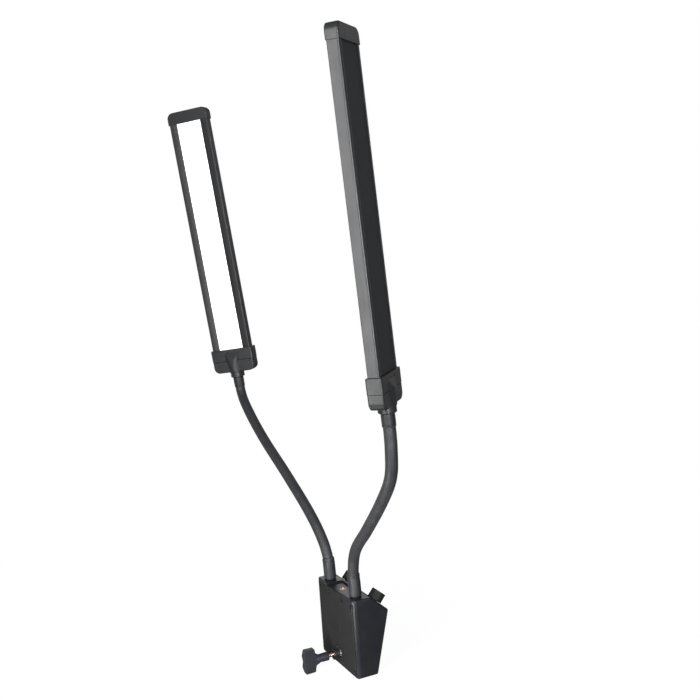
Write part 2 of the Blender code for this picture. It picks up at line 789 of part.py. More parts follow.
def power_jack():
    body = rod("power_jack", JACK_RADIUS, (JACK_X, 0, 0.0001), (JACK_X, 0, 0.016), 20)
    bore = ring("jack_bore", 0.001, 0.0032, -0.002, 0.010, 16, helper=True)
    bore.location = (JACK_X, 0, 0)
    cut(body, bore)
    paint(body, "moulded")


# ---- goosenecks ----------------------------------------------------------------------------------------
def head_matrix(arm):
    """World matrix of a light head: yaw about the bar, then the bar tipped onto its axis."""
    axis = arm["head_axis"].normalized()
    tip = Vector((0, 0, 1)).rotation_difference(axis).to_matrix()
    turn = tip @ Matrix.Rotation(arm["head_yaw"], 3, "Z")
    return Matrix.Translation(arm["head_base"]) @ turn.to_4x4()


def hermite(p0, m0, p1, m1, t):
    """The point at share t of the cubic from p0 to p1 with end tangents m0 and m1."""
    return (
        p0 * (2 * t**3 - 3 * t**2 + 1)
        + m0 * (t**3 - 2 * t**2 + t)
        + p1 * (-2 * t**3 + 3 * t**2)
        + m1 * (t**3 - t**2)
    )


class NeckPath:
    """The rest centre line of one gooseneck: a smooth curve, measured by its arc length."""

    STEPS = 24

    def __init__(self, arm):
        base = Vector((arm["side"] * NECK_X, NECK_Y, BOX_HEIGHT))
        axis = arm["head_axis"].normalized()
        top = arm["head_base"] + axis * (HUB_BOTTOM_Z - GAP)
        self.outward = Vector((top.x - base.x, top.y - base.y, 0)).normalized()
        places = [base]
        for distance, height in arm["way"]:
            places.append(Vector((base.x, base.y, height)) + self.outward * distance)
        places.append(top - axis * STRAIGHT_UNDER_HEAD)
        ways = [(after - before).normalized() for before, after in zip(places, places[2:])]
        ways = [Vector((0, 0, 1)), *ways, axis, axis]
        places.append(top)
        self.points = [base]
        for i in range(len(places) - 1):
            chord = (places[i + 1] - places[i]).length
            leaving, arriving = ways[i] * chord, ways[i + 1] * chord
            for step in range(1, self.STEPS + 1):
                self.points.append(hermite(places[i], leaving, places[i + 1], arriving, step / self.STEPS))
        self.lengths = [0.0]
        for a, b in zip(self.points, self.points[1:]):
            self.lengths.append(self.lengths[-1] + (b - a).length)
        self.total = self.lengths[-1]

    def at(self, length):
        """The point at an arc length; beyond an end the line runs on straight."""
        if length <= 0:
            return self.points[0] + Vector((0, 0, 1)) * length
        for i in range(1, len(self.lengths)):
            if length <= self.lengths[i]:
                share = (length - self.lengths[i - 1]) / (self.lengths[i] - self.lengths[i - 1])
                return self.points[i - 1].lerp(self.points[i], share)
        return self.points[-1] + self.direction(self.total) * (length - self.total)

    def direction(self, length):
        step = 0.0005
        low = min(max(length - step, 0), self.total - 2 * step)
        return (self.at(low + 2 * step) - self.at(low)).normalized()

    def stretch(self, start, end):
        """Points from start to end. Inner ones sit at whole multiples of RING_STEP for hose and sleeve."""
        first = math.ceil((start + RING_MARGIN) / RING_STEP)
        last = math.floor((end - RING_MARGIN) / RING_STEP)
        inner = [self.at(i * RING_STEP) for i in range(first, last + 1)]
        return [self.at(start), *inner, self.at(end)]

    def joints(self):
        """Arc lengths of the four bending joints."""
        first, last = FIRST_JOINT, self.total - LAST_JOINT
        return [first + (last - first) * i / 3 for i in range(4)]


def moved_to(item, origin):
    """Gives a mesh made in world coordinates its origin at a joint."""
    item.data.transform(Matrix.Translation(-origin))
    return item


def neck_core(name, path, low, high, ball_at_low, cup_at_high):
    """One rigid stretch of the armoured hose: a ball at its lower end and a cup at its upper end."""
    origin = path.at(low)
    start = low + SHOULDER_RISE if ball_at_low else low
    end = high - CUP_DROP if cup_at_high else high
    core = moved_to(tube_along(name, path.stretch(start, end), CORE_RADIUS, 3), origin)
    core.location = origin
    if ball_at_low:
        way = path.direction(low)
        stem_end = origin + way * (SHOULDER_RISE + 0.003)
        stem = rod("link_stem", STEM_RADIUS, origin, stem_end, 8, helper=True)
        add(core, stem, ball("link_ball", BALL_RADIUS, origin, way, 8, helper=True))
    if cup_at_high:
        cut(core, ball("link_cup", CUP_RADIUS, path.at(high), path.direction(high), helper=True))
    return core


def hose_bore(name, path, low, high):
    """A cutter for the hose's room in a sleeve or collar, running straight past both of its ends."""
    before = path.at(low) - path.direction(low) * BORE_PAST
    after = path.at(high) + path.direction(high) * BORE_PAST
    return tube_along(name, [before, *path.stretch(low, high), after], SLEEVE_BORE, 4, helper=True)


def neck_sleeve(name, path, low, high, origin, radius=SLEEVE_RADIUS):
    """The rubber over one stretch of hose, with its origin at a joint."""
    sleeve = moved_to(tube_along(name, path.stretch(low, high), radius, 4), origin)
    sleeve.location = origin
    cut(sleeve, hose_bore(f"{name}_bore", path, low, high))
    paint(sleeve, "rubber")
    return sleeve


def gooseneck(name, arm):
    """Hose, sleeves and collars of one arm; returns the empty of its last joint."""
    path = NeckPath(arm)
    joints = path.joints()
    root = neck_core(f"{name}_neck_root", path, ROOT_START, joints[0], False, True)
    flange_top = path.at(-TOP_WALL - GAP - 0.0005)
    add(root, rod("root_flange", ROOT_FLANGE_RADIUS, path.at(ROOT_START), flange_top, 20, helper=True))
    paint(root, "steel")
    collar_span = (BASE_COLLAR_START, BASE_COLLAR_HEIGHT)
    neck_sleeve(f"{name}_base_collar", path, *collar_span, path.at(0), BASE_COLLAR_RADIUS)

    empty = None
    for number, joint in enumerate(joints, start=1):
        origin = path.at(joint)
        empty = frame_empty(f"{name}_joint_{number}", Matrix.Translation(origin), empty)
        last = number == len(joints)
        top = path.total - GAP if last else joints[number]
        core = neck_core(f"{name}_neck_core_{number}", path, joint, top, True, not last)
        sleeve_top = path.total - HEAD_COLLAR_HEIGHT - COLLAR_GAP if last else top - SLEEVE_CUT
        sleeve = neck_sleeve(f"{name}_sleeve_{number}", path, joint + SLEEVE_CUT, sleeve_top, origin)
        paint(core, "steel")
        core.location = (0, 0, 0)
        sleeve.location = (0, 0, 0)
        ride_on(empty, core, sleeve)
    collar_span = (path.total - HEAD_COLLAR_HEIGHT, path.total - GAP)
    head_collar = neck_sleeve(f"{name}_head_collar", path, *collar_span, origin, HEAD_COLLAR_RADIUS)
    head_collar.location = (0, 0, 0)
    ride_on(empty, head_collar)
    return empty


# ---- light heads ---------------------------------------------------------------------------------------
def bar_section():
    """Cross-section of the extrusion: side walls, front lips, a web and back rails, as (x, y) points."""
    half, deep = BAR_WIDTH / 2, BAR_DEPTH / 2
    inner = half - BAR_WALL
    right = [
        (WINDOW_HALF, -deep),
        (half - 0.001, -deep),
        (half, -deep + 0.001),
        (half, deep - 0.001),
        (half - 0.001, deep),
        (half - BACK_RAIL, deep),
        (half - BACK_RAIL, deep - LIP_THICKNESS),
        (inner, deep - LIP_THICKNESS),
        (inner, WEB_BACK_Y),
    ]
    front = [(inner, WEB_FRONT_Y), (inner, -deep + LIP_THICKNESS), (WINDOW_HALF, -deep + LIP_THICKNESS)]
    mirrored_right = [(-x, y) for x, y in reversed(right)]
    mirrored_front = [(-x, y) for x, y in reversed(front)]
    return right + mirrored_right + mirrored_front + front


def hub_profile(extra=0.0):
    """Outer line of the hub from its top down to the collar, grown by extra for the bracket's holes."""
    top = HUB_TOP_Z + extra
    return [
        (0, top),
        (HUB_TOP_RADIUS + extra, top),
        (HUB_LOW_RADIUS + extra, HUB_FLANGE_Z),
        (HUB_FLANGE_RADIUS + extra, HUB_FLANGE_Z - 0.0005),
        (HUB_FLANGE_RADIUS + extra, HUB_BOTTOM_Z + 0.0008),
        (HUB_FLANGE_RADIUS - 0.0008, HUB_BOTTOM_Z - extra),
        (0, HUB_BOTTOM_Z - extra),
    ]


def bracket(name, low, high, corners):
    """A slab that wraps the bar's lower end; the lower one has round bottom corners."""
    half = BAR_WIDTH / 2 + BRACKET_PROUD
    outline = rounded_rectangle(half, low, high, CORNER_ROUND, corners)
    body = sheet(name, outline, -BRACKET_DEPTH / 2, BRACKET_DEPTH / 2, "Y")
    round_edges(body, 0.0012, 1, 50)
    return body


def lower_bracket(name, place):
    """The lower slab with its tapered round hub; sloping facets cut the hub's top on the front and back."""
    body = bracket(name, -BRACKET_HEIGHT, BRACKET_SPLIT - GAP / 2, "bottom")
    hub = turned(f"{name}_hub", hub_profile(), 20, helper=True)
    hub.matrix_world = place
    add(body, hub)
    near = BRACKET_DEPTH / 2 - 0.0005
    far = BRACKET_DEPTH / 2 + FACET_RUN * FACET_REACH
    above, top = HUB_TOP_Z + 0.002, HUB_TOP_Z - 0.0008
    for side in (-1, 1):
        outline = [
            (side * near, above),
            (side * near, top),
            (side * far, top - FACET_DROP * FACET_REACH),
            (side * far, above),
        ]
        wedge = sheet("facet_wedge", outline, -0.03, 0.03, "X", helper=True)
        wedge.matrix_world = place
        cut(body, wedge)
    return body


def bar_room(name, low_z, high_z, place):
    """A cutter for the extrusion's end in a cap or bracket."""
    half, deep = BAR_WIDTH / 2 + GAP, BAR_DEPTH / 2 + GAP
    room = block(name, (-half, -deep, low_z), (half, deep, high_z), helper=True)
    room.matrix_world = place
    return room


def light_head(name, arm, neck_end):
    """A light bar on its hub, built in its own frame and hung on the turning joint at the neck's end."""
    place = head_matrix(arm)
    empty = frame_empty(f"{name}_head_frame", place, neck_end)
    half, deep = BAR_WIDTH / 2, BAR_DEPTH / 2

    def panel(piece, half_width, low_y, thickness, tuck, finish):
        """A flat strip inside the extrusion that runs tuck below its window and 2 mm further above it."""
        low = (-half_width, low_y, -tuck)
        item = block(f"{name}_{piece}", low, (half_width, low_y + thickness, BAR_LENGTH + tuck + 0.002))
        paint(item, finish)
        return item

    bar_ends = -BAR_TUCK_BOTTOM, BAR_LENGTH + BAR_TUCK_TOP
    extrusion = sheet(f"{name}_bar_extrusion", bar_section(), *bar_ends, "Z")
    paint(extrusion, "coated_metal")
    diffuser_y = -deep + LIP_THICKNESS + GAP
    diffuser = panel("diffuser", DIFFUSER_HALF, diffuser_y, DIFFUSER_THICKNESS, 0.004, "diffuser")
    board_y = WEB_FRONT_Y - GAP - LED_BOARD_THICKNESS
    led_board = panel("led_board", LED_BOARD_HALF, board_y, LED_BOARD_THICKNESS, 0.003, "board")
    grille_y = deep - LIP_THICKNESS - GAP - GRILLE_THICKNESS
    grille = panel("back_grille", half - BAR_WALL - GAP, grille_y, GRILLE_THICKNESS, 0.004, "mesh")

    cap_half, cap_deep = half + CAP_PROUD, deep + CAP_DEPTH_PROUD
    cap_outline = rounded_rectangle(cap_half, BAR_LENGTH, BAR_LENGTH + CAP_HEIGHT, CORNER_ROUND, "top")
    cap = sheet(f"{name}_top_cap", cap_outline, -cap_deep, cap_deep, "Y")
    round_edges(cap, 0.0015, 1, 50)
    cut(cap, bar_room("cap_room", BAR_LENGTH - CUT_PAST, BAR_LENGTH + BAR_TUCK_TOP + GAP, place))
    paint(cap, "moulded")

    upper = bracket(f"{name}_bracket_upper", BRACKET_SPLIT + GAP / 2, 0, "none")
    hub_room = turned("hub_room", hub_profile(2 * GAP), 20, helper=True)
    hub_room.matrix_world = place
    cut(upper, bar_room("bracket_room", -BAR_TUCK_BOTTOM - GAP, CUT_PAST, place), hub_room)
    paint(upper, "moulded")
    lower = lower_bracket(f"{name}_bracket_lower", place)
    paint(lower, "moulded")
    ride_on(empty, extrusion, diffuser, led_board, grille, cap, upper, lower)


def set_on_origin():
    """Lowers the lamp so that the stand socket's stop lies at the origin."""
    drop = Matrix.Translation((0, 0, STOP_HEIGHT - SOCKET_DEPTH))
    for item in bpy.data.objects:
        if item.parent is None:
            item.matrix_world = drop @ item.matrix_world


def build():
    clear_scene()
    new_collection(PARTS)
    new_collection(CUTTERS)
    housing()
    cover()
    cover_screws()
    stand_socket()
    lock_group()
    thread_insert()
    panel_parts()
    driver_board()
    power_jack()
    for name, arm in ARMS.items():
        neck_end = gooseneck(name, arm)
        light_head(name, arm, neck_end)
    set_on_origin()
    bpy.context.view_layer.update()


build()
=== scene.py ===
"""Looks of the twin-arm gooseneck LED lamp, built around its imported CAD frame. Metres, +Z up.

Lengths of the box are heights above its bottom. Lengths of a light head are in the head's own frame:
z along the bar from the bracket's top, x across it, lit side on -y.
"""

import json
import math

import bmesh
import bpy
import numpy as np
from mathutils import Matrix, Vector

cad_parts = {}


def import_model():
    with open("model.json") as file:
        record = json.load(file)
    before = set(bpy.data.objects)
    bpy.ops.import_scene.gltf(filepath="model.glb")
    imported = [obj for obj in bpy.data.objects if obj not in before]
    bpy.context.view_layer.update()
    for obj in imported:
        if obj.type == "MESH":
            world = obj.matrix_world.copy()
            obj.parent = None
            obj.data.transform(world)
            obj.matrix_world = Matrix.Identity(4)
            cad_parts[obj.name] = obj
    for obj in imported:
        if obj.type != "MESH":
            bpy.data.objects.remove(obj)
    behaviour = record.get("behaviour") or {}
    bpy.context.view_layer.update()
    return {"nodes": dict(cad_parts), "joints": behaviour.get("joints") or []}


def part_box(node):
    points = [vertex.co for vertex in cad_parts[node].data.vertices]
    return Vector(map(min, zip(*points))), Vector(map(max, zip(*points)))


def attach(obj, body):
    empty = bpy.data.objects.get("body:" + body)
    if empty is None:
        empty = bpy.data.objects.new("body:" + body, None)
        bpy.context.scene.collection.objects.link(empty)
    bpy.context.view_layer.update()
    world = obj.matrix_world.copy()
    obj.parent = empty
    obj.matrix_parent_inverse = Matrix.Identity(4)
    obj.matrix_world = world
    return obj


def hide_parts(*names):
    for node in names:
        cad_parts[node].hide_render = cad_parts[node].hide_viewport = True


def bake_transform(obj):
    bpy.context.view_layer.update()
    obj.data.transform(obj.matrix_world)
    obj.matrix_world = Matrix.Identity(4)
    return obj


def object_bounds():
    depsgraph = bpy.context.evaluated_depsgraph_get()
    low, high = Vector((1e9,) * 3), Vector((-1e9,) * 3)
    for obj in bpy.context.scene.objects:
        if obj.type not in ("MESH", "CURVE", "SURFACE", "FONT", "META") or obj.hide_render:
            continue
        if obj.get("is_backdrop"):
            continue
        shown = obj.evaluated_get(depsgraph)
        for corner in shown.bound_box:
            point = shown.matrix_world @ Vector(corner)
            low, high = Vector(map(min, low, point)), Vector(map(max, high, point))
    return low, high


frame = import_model()
JOINTS = {joint["name"]: joint for joint in frame["joints"]}
GAP = 0.0003  # clearance between neighbouring pieces
PAST = 0.01  # how far a cutter runs past the face it opens


# ---- materials ----
def add_node(tree, kind, inputs=None, **settings):
    """A shader node. inputs maps a socket's name or number to a value or to another node's output."""
    node = tree.nodes.new(kind)
    for key, value in settings.items():
        setattr(node, key, value)
    for key, value in (inputs or {}).items():
        if isinstance(value, bpy.types.NodeSocket):
            tree.links.new(value, node.inputs[key])
        else:
            node.inputs[key].default_value = value
    return node


class Finish:
    """A procedural material: a Principled shader and the textures that feed it, in object coordinates."""

    def __init__(self, name, colour, roughness, metallic=0.0, specular=0.5):
        self.material = bpy.data.materials.new(name)
        self.material.use_nodes = True
        self.tree = self.material.node_tree
        self.shader = self.tree.nodes["Principled BSDF"]
        self.shader.inputs["Metallic"].default_value = metallic
        self.shader.inputs["Specular IOR Level"].default_value = specular
        self.where = add_node(self.tree, "ShaderNodeTexCoord").outputs["Object"]
        self.colour = add_node(self.tree, "ShaderNodeRGB").outputs[0]
        self.colour.default_value = (*colour, 1)
        self.roughness = add_node(self.tree, "ShaderNodeValue").outputs[0]
        self.roughness.default_value = roughness
        self.normal = None

    def noise(self, scale, detail, stretch=(1, 1, 1)):
        """A 0 to 1 texture with scale features a metre, drawn out by stretch."""
        place = add_node(self.tree, "ShaderNodeMapping", {"Vector": self.where, "Scale": stretch})
        inputs = {"Vector": place.outputs[0], "Scale": scale, "Detail": detail}
        return add_node(self.tree, "ShaderNodeTexNoise", inputs).outputs[0]

    def spread(self, value, low, high, to_low, to_high):
        """Maps low..high to to_low..to_high, and clamps."""
        inputs = {0: value, 1: low, 2: high, 3: to_low, 4: to_high}
        return add_node(self.tree, "ShaderNodeMapRange", inputs).outputs[0]

    def tint(self, share, colour):
        """Mixes colour into the base colour by share."""
        inputs = {0: share, 6: self.colour, 7: (*colour, 1)}
        self.colour = add_node(self.tree, "ShaderNodeMix", inputs, data_type="RGBA").outputs[2]

    def fleck(self, noise, low, high, share, colour):
        """Tints by up to share where a noise runs from low to high."""
        self.tint(self.spread(noise, low, high, 0.0, share), colour)

    def roughen(self, share, amount):
        """Adds amount times share to the roughness."""
        inputs = {0: share, 1: amount, 2: self.roughness}
        node = add_node(self.tree, "ShaderNodeMath", inputs, operation="MULTIPLY_ADD")
        self.roughness = node.outputs[0]

    def uneven(self, noise, amount):
        """Takes the roughness up and down with a noise, by amount in all."""
        self.roughen(self.spread(noise, 0.3, 0.7, -0.5, 0.5), amount)

    def soft_edges(self, radius):
        """Rounds sharp edges in the shading, and returns a mask of them."""
        bevel = add_node(self.tree, "ShaderNodeBevel", {"Radius": radius}, samples=6)
        plain = add_node(self.tree, "ShaderNodeNewGeometry").outputs["Normal"]
        self.normal = bevel.outputs[0]
        inputs = {0: plain, 1: bevel.outputs[0]}
        node = add_node(self.tree, "ShaderNodeVectorMath", inputs, operation="DOT_PRODUCT")
        return node.outputs["Value"]

    def wear(self, edge_radius, colour, share):
        """Soft edges, worn to a colour in patches."""
        edge = self.spread(self.soft_edges(edge_radius), 0.999, 0.93, 0.0, share)
        patch = self.spread(self.noise(160, 4), 0.45, 0.62, 0.25, 1.0)
        node = add_node(self.tree, "ShaderNodeMath", {0: edge, 1: patch}, operation="MULTIPLY")
        self.tint(node.outputs[0], colour)

    def bump(self, height, depth, strength):
        """Adds a relief of a depth in metres, on top of the soft edges if there are any."""
        inputs = {"Height": height, "Distance": depth, "Strength": strength}
        if self.normal is not None:
            inputs["Normal"] = self.normal
        self.normal = add_node(self.tree, "ShaderNodeBump", inputs).outputs[0]

    def done(self):
        """Joins everything up and returns the material."""
        links = self.tree.links
        links.new(self.colour, self.shader.inputs["Base Color"])
        links.new(self.roughness, self.shader.inputs["Roughness"])
        if self.normal is not None:
            links.new(self.normal, self.shader.inputs["Normal"])
        return self.material


def moulded(name, colour, roughness, specular=0.5):
    """Moulded plastic with a fine spark-eroded texture, faint flow marks and polished edges."""
    made = Finish(name, colour, roughness, 0.0, specular)
    light = tuple(c * 1.5 + 0.004 for c in colour)
    made.fleck(made.noise(22, 3), 0.3, 0.75, 0.5, light)
    made.fleck(made.noise(900, 2), 0.62, 0.8, 0.5, light)
    made.uneven(made.noise(45, 4), 0.10)
    made.wear(0.00035, tuple(c * 2.2 + 0.01 for c in colour), 0.35)
    made.bump(made.noise(2600, 2), 0.00006, 0.7)
    made.bump(made.noise(14, 2), 0.0004, 0.12)
    return made.done()


def coated(name, colour, roughness, metallic, streaks):
    """Satin powder coat over drawn aluminium: fine orange peel and faint lines along z."""
    made = Finish(name, colour, roughness, metallic)
    light = tuple(c * 1.5 + 0.01 for c in colour)
    lines = made.noise(700, 3, (1, 1, 0.012))
    made.fleck(lines, 0.35, 0.7, streaks, light)
    made.fleck(made.noise(1300, 2), 0.6, 0.85, 0.4, light)
    made.uneven(made.noise(30, 3), 0.08)
    made.uneven(lines, 0.10)
    made.wear(0.0003, (0.16, 0.16, 0.165), 0.3)
    made.bump(lines, 0.00003, 0.5)
    made.bump(made.noise(1700, 2), 0.00004, 0.6)
    return made.done()


def rubber(name, colour):
    """Matt silicone rubber that has caught a little dust."""
    made = Finish(name, colour, 0.56)
    dusty = tuple(c * 1.7 + 0.012 for c in colour)
    made.fleck(made.noise(35, 5), 0.42, 0.75, 0.35, dusty)
    made.fleck(made.noise(1500, 3), 0.62, 0.8, 0.4, dusty)
    made.uneven(made.noise(60, 4), 0.16)
    made.bump(made.noise(1900, 3), 0.00004, 0.4)
    made.bump(made.noise(60, 2), 0.0003, 0.08)
    made.shader.inputs["Sheen Weight"].default_value = 0.05
    made.shader.inputs["Sheen Roughness"].default_value = 0.5
    return made.done()


def metal(name, colour, roughness):
    """Bare metal with tool marks and a few darker stains."""
    made = Finish(name, colour, roughness, 1.0)
    made.fleck(made.noise(120, 5), 0.5, 0.8, 0.45, tuple(c * 0.45 for c in colour))
    marks = made.noise(900, 3)
    made.uneven(marks, 0.22)
    made.bump(marks, 0.00004, 0.6)
    return made.done()


def wound_hose(name):
    """Armoured hose: bright steel strip wound in a tight spiral, with painted shade in the grooves
    between the turns.
    """
    made = Finish(name, (0.42, 0.42, 0.43), 0.33, 1.0)
    inputs = {"Vector": made.where, "Scale": 140.0, "Distortion": 0.4}
    turns = add_node(made.tree, "ShaderNodeTexWave", inputs, bands_direction="Z").outputs["Fac"]
    # painted shade: the grooves between the turns are darkened
    made.tint(made.spread(turns, 0.0, 0.35, 0.85, 0.0), (0.03, 0.03, 0.032))
    made.roughen(made.noise(300, 4), 0.2)
    made.bump(turns, 0.0006, 0.8)
    return made.done()


def mesh_fabric(name):
    """Black coated wire: dull, with a fleck of bare metal here and there."""
    made = Finish(name, (0.016, 0.016, 0.017), 0.55)
    made.fleck(made.noise(1200, 3), 0.6, 0.82, 0.7, (0.035, 0.035, 0.037))
    made.fleck(made.noise(260, 2, (1, 1, 0.05)), 0.4, 0.7, 0.4, (0.02, 0.02, 0.021))
    made.roughen(made.noise(500, 3), 0.15)
    made.bump(made.noise(2400, 2), 0.00008, 0.8)
    return made.done()


def opal(name):
    """Lit opal acrylic: an even glow that falls off a little between the rows of lamps behind it."""
    made = Finish(name, (0.93, 0.93, 0.92), 0.38)
    cells = made.noise(60, 2)
    made.fleck(made.noise(900, 2), 0.4, 0.7, 0.5, (0.86, 0.86, 0.85))
    made.roughen(made.noise(400, 3), 0.1)
    made.bump(made.noise(1800, 2), 0.00003, 0.5)
    glow = made.spread(cells, 0.3, 0.7, 0.97, 1.05)
    camera = add_node(made.tree, "ShaderNodeLightPath").outputs["Is Camera Ray"]
    strength = made.spread(camera, 0.0, 1.0, 0.7, 1.35)  # brighter to the eye than the light it casts
    lit = add_node(made.tree, "ShaderNodeMath", {0: glow, 1: strength}, operation="MULTIPLY")
    made.shader.inputs["Emission Color"].default_value = (1.0, 0.995, 0.985, 1)
    made.tree.links.new(lit.outputs[0], made.shader.inputs["Emission Strength"])
    return made.done()


def circuit_board(name, mask, pad, scale):
    """Solder mask with rows of pads and a faint weave of the board under it."""
    made = Finish(name, mask, 0.36)
    layout = {"Mortar Size": 0.012, "Brick Width": 0.5, "Row Height": 0.25}
    inputs = {"Vector": made.where, "Scale": scale, **layout}
    bricks = add_node(made.tree, "ShaderNodeTexBrick", inputs).outputs["Fac"]
    made.tint(bricks, pad)
    inputs = {"Vector": made.where, "Scale": 700}
    weave = add_node(made.tree, "ShaderNodeTexVoronoi", inputs).outputs["Distance"]
    made.tint(made.spread(weave, 0.0, 0.8, 0.25, 0.0), tuple(c * 0.6 for c in mask))
    made.roughen(made.noise(200, 3), 0.12)
    made.bump(bricks, 0.00006, 0.6)
    return made.done()


def glass(name):
    """Smoked display window with faint dust."""
    made = Finish(name, (0.006, 0.006, 0.008), 0.07)
    made.fleck(made.noise(800, 4), 0.6, 0.85, 0.5, (0.03, 0.03, 0.035))
    made.roughen(made.spread(made.noise(90, 5), 0.4, 0.8, 0.0, 1.0), 0.16)
    made.bump(made.noise(300, 2), 0.00001, 0.3)
    return made.done()


LOOKS = {
    "housing": moulded("housing_plastic", (0.0110, 0.0120, 0.0155), 0.37),
    "cover": moulded("cover_plastic", (0.0165, 0.0155, 0.0155), 0.56, 0.40),
    "caps": moulded("cap_plastic", (0.026, 0.0265, 0.027), 0.36),
    "knob": moulded("knob_plastic", (0.010, 0.0105, 0.0125), 0.55, 0.28),
    "handle": moulded("handle_plastic", (0.019, 0.0205, 0.026), 0.50),
    "bar": coated("bar_coat", (0.024, 0.024, 0.025), 0.35, 0.0, 0.6),
    "boss": coated("boss_coat", (0.018, 0.018, 0.020), 0.42, 0.2, 0.2),
    "rubber": rubber("neck_rubber", (0.029, 0.029, 0.033)),
    "ferrule": rubber("ferrule_rubber", (0.020, 0.020, 0.023)),
    "steel": metal("plated_steel", (0.58, 0.58, 0.60), 0.26),
    "washer": metal("worn_washer", (0.24, 0.24, 0.25), 0.40),
    "black_screw": metal("black_oxide", (0.035, 0.035, 0.038), 0.40),
    "brass": metal("turned_brass", (0.58, 0.42, 0.30), 0.30),
    "hose": wound_hose("hose_steel"),
    "grille": mesh_fabric("grille_wire"),
    "diffuser": opal("opal_diffuser"),
    "board": circuit_board("green_board", (0.012, 0.070, 0.030), (0.45, 0.36, 0.20), 220),
    "led_board": circuit_board("white_board", (0.78, 0.78, 0.76), (0.90, 0.72, 0.18), 130),
    "display": glass("display_glass"),
    "nylon": moulded("nylon_white", (0.62, 0.60, 0.54), 0.45),
}


# ---- mesh helpers ----
CUTTERS = []  # solids of the booleans that are still to be applied


def new_item(name, points, faces):
    """A mesh object with its faces turned outwards."""
    mesh = bpy.data.meshes.new(name)
    mesh.from_pydata([tuple(point) for point in points], [], faces)
    shape = bmesh.new()
    shape.from_mesh(mesh)
    bmesh.ops.recalc_face_normals(shape, faces=shape.faces)
    shape.to_mesh(mesh)
    shape.free()
    item = bpy.data.objects.new(name, mesh)
    bpy.context.scene.collection.objects.link(item)
    return item


def joined(rings, loop=False):
    """Faces between neighbouring rings of vertex numbers; a ring of one vertex is a pole."""
    faces = []
    pairs = list(zip(rings, rings[1:]))
    if loop:
        pairs.append((rings[-1], rings[0]))
    for a, b in pairs:
        count = max(len(a), len(b))
        for i in range(count):
            j = (i + 1) % count
            if len(a) == 1:
                faces.append((a[0], b[j], b[i]))
            elif len(b) == 1:
                faces.append((a[i], a[j], b[0]))
            else:
                faces.append((a[i], a[j], b[j], b[i]))
    if not loop:
        faces += [tuple(ring) for ring in (rings[0], rings[-1]) if len(ring) > 1]
    return faces


def loft(name, sections, loop=False):
    """A solid through sections, which are equally long lists of points."""
    points, rings = [], []
    for section in sections:
        rings.append(list(range(len(points), len(points) + len(section))))
        points += section
    return new_item(name, points, joined(rings, loop))


def prism(name, outline, low, high, facing):
    """An outline extruded from low to high. Facing X takes (y, z) points, Y (x, z) and Z (x, y)."""
    turn = {
        "X": lambda u, v, w: (w, u, v),
        "Y": lambda u, v, w: (u, w, v),
        "Z": lambda u, v, w: (u, v, w),
    }[facing]
    return loft(name, [[turn(u, v, w) for u, v in outline] for w in (low, high)])


def block(name, low, high):
    """A box between two corners."""
    outline = [(low[0], low[1]), (high[0], low[1]), (high[0], high[1]), (low[0], high[1])]
    return prism(name, outline, low[2], high[2], "Z")


def revolve(name, profile, steps=48, loop=False, wobble=None):
    """A solid turned about Z from a (radius, z) profile.

    wobble(number, angle) is added to the radius of the profile point of that number.
    """
    points, rings = [], []
    for number, (radius, z) in enumerate(profile):
        if radius == 0:
            rings.append([len(points)])
            points.append((0, 0, z))
            continue
        rings.append(list(range(len(points), len(points) + steps)))
        for step in range(steps):
            angle = 2 * math.pi * step / steps
            reach = radius + (wobble(number, angle) if wobble else 0)
            points.append((reach * math.cos(angle), reach * math.sin(angle), z))
    return new_item(name, points, joined(rings, loop))


def moved(item, matrix):
    """The same item with its mesh moved by matrix."""
    item.data.transform(matrix)
    return item


def rod(name, radius, start, end, steps=32):
    """A round rod, or a prism of few steps, from start to end."""
    start, end = Vector(start), Vector(end)
    turn = (end - start).to_track_quat("Z", "Y").to_matrix().to_4x4()
    profile = [(0, 0), (radius, 0), (radius, (end - start).length), (0, (end - start).length)]
    return moved(revolve(name, profile, steps), Matrix.Translation(start) @ turn)


def arc(centre_u, centre_v, radius, start, end, steps=6):
    """Points of an arc from start to end, in degrees."""
    angles = [math.radians(start + (end - start) * step / steps) for step in range(steps + 1)]
    return [(centre_u + radius * math.cos(a), centre_v + radius * math.sin(a)) for a in angles]


LEAST_ROUND = 1e-5  # keeps the points of a sharp corner apart


def round_box(half, low, high, low_radius, high_radius, steps=6):
    """Outline of a box from -half to half and from low to high, with round corners.

    It always has the same number of points, so that outlines can be joined into a loft.
    """
    corners = [
        (half - low_radius, low + low_radius, low_radius, -90),
        (half - high_radius, high - high_radius, high_radius, 0),
        (high_radius - half, high - high_radius, high_radius, 90),
        (low_radius - half, low + low_radius, low_radius, 180),
    ]
    points = []
    for u, v, radius, start in corners:
        points += arc(u, v, max(radius, LEAST_ROUND), start, start + 90, steps)
    return points


def rounded(outline, radii, steps=5):
    """An outline whose corners are rounded, each by its own radius."""
    points = []
    count = len(outline)
    for i, (corner, radius) in enumerate(zip(outline, radii)):
        here = Vector(corner)
        before = (Vector(outline[i - 1]) - here).normalized()
        after = (Vector(outline[(i + 1) % count]) - here).normalized()
        half_angle = before.angle(after) / 2
        reach = radius / math.tan(half_angle)
        centre = here + (before + after).normalized() * (radius / math.sin(half_angle))
        start, end = here + before * reach - centre, here + after * reach - centre
        for step in range(steps + 1):
            share = step / steps
            way = (start * (1 - share) + end * share).normalized()
            points.append(tuple(centre + way * radius))
    return points


def bevel(item, width, segments, method, angle=0):
    """Rounds an item's edges, all by their weight or those sharper than angle, in degrees."""
    modifier = item.modifiers.new("Round", "BEVEL")
    modifier.width = width
    modifier.segments = segments
    modifier.limit_method = method
    modifier.angle_limit = math.radians(angle)


def combine(item, others, operation):
    for other in others:
        modifier = item.modifiers.new(operation.title(), "BOOLEAN")
        modifier.operation = operation
        modifier.object = other
        modifier.solver = "EXACT"
        CUTTERS.append(other)


def cut(item, *others):
    combine(item, others, "DIFFERENCE")


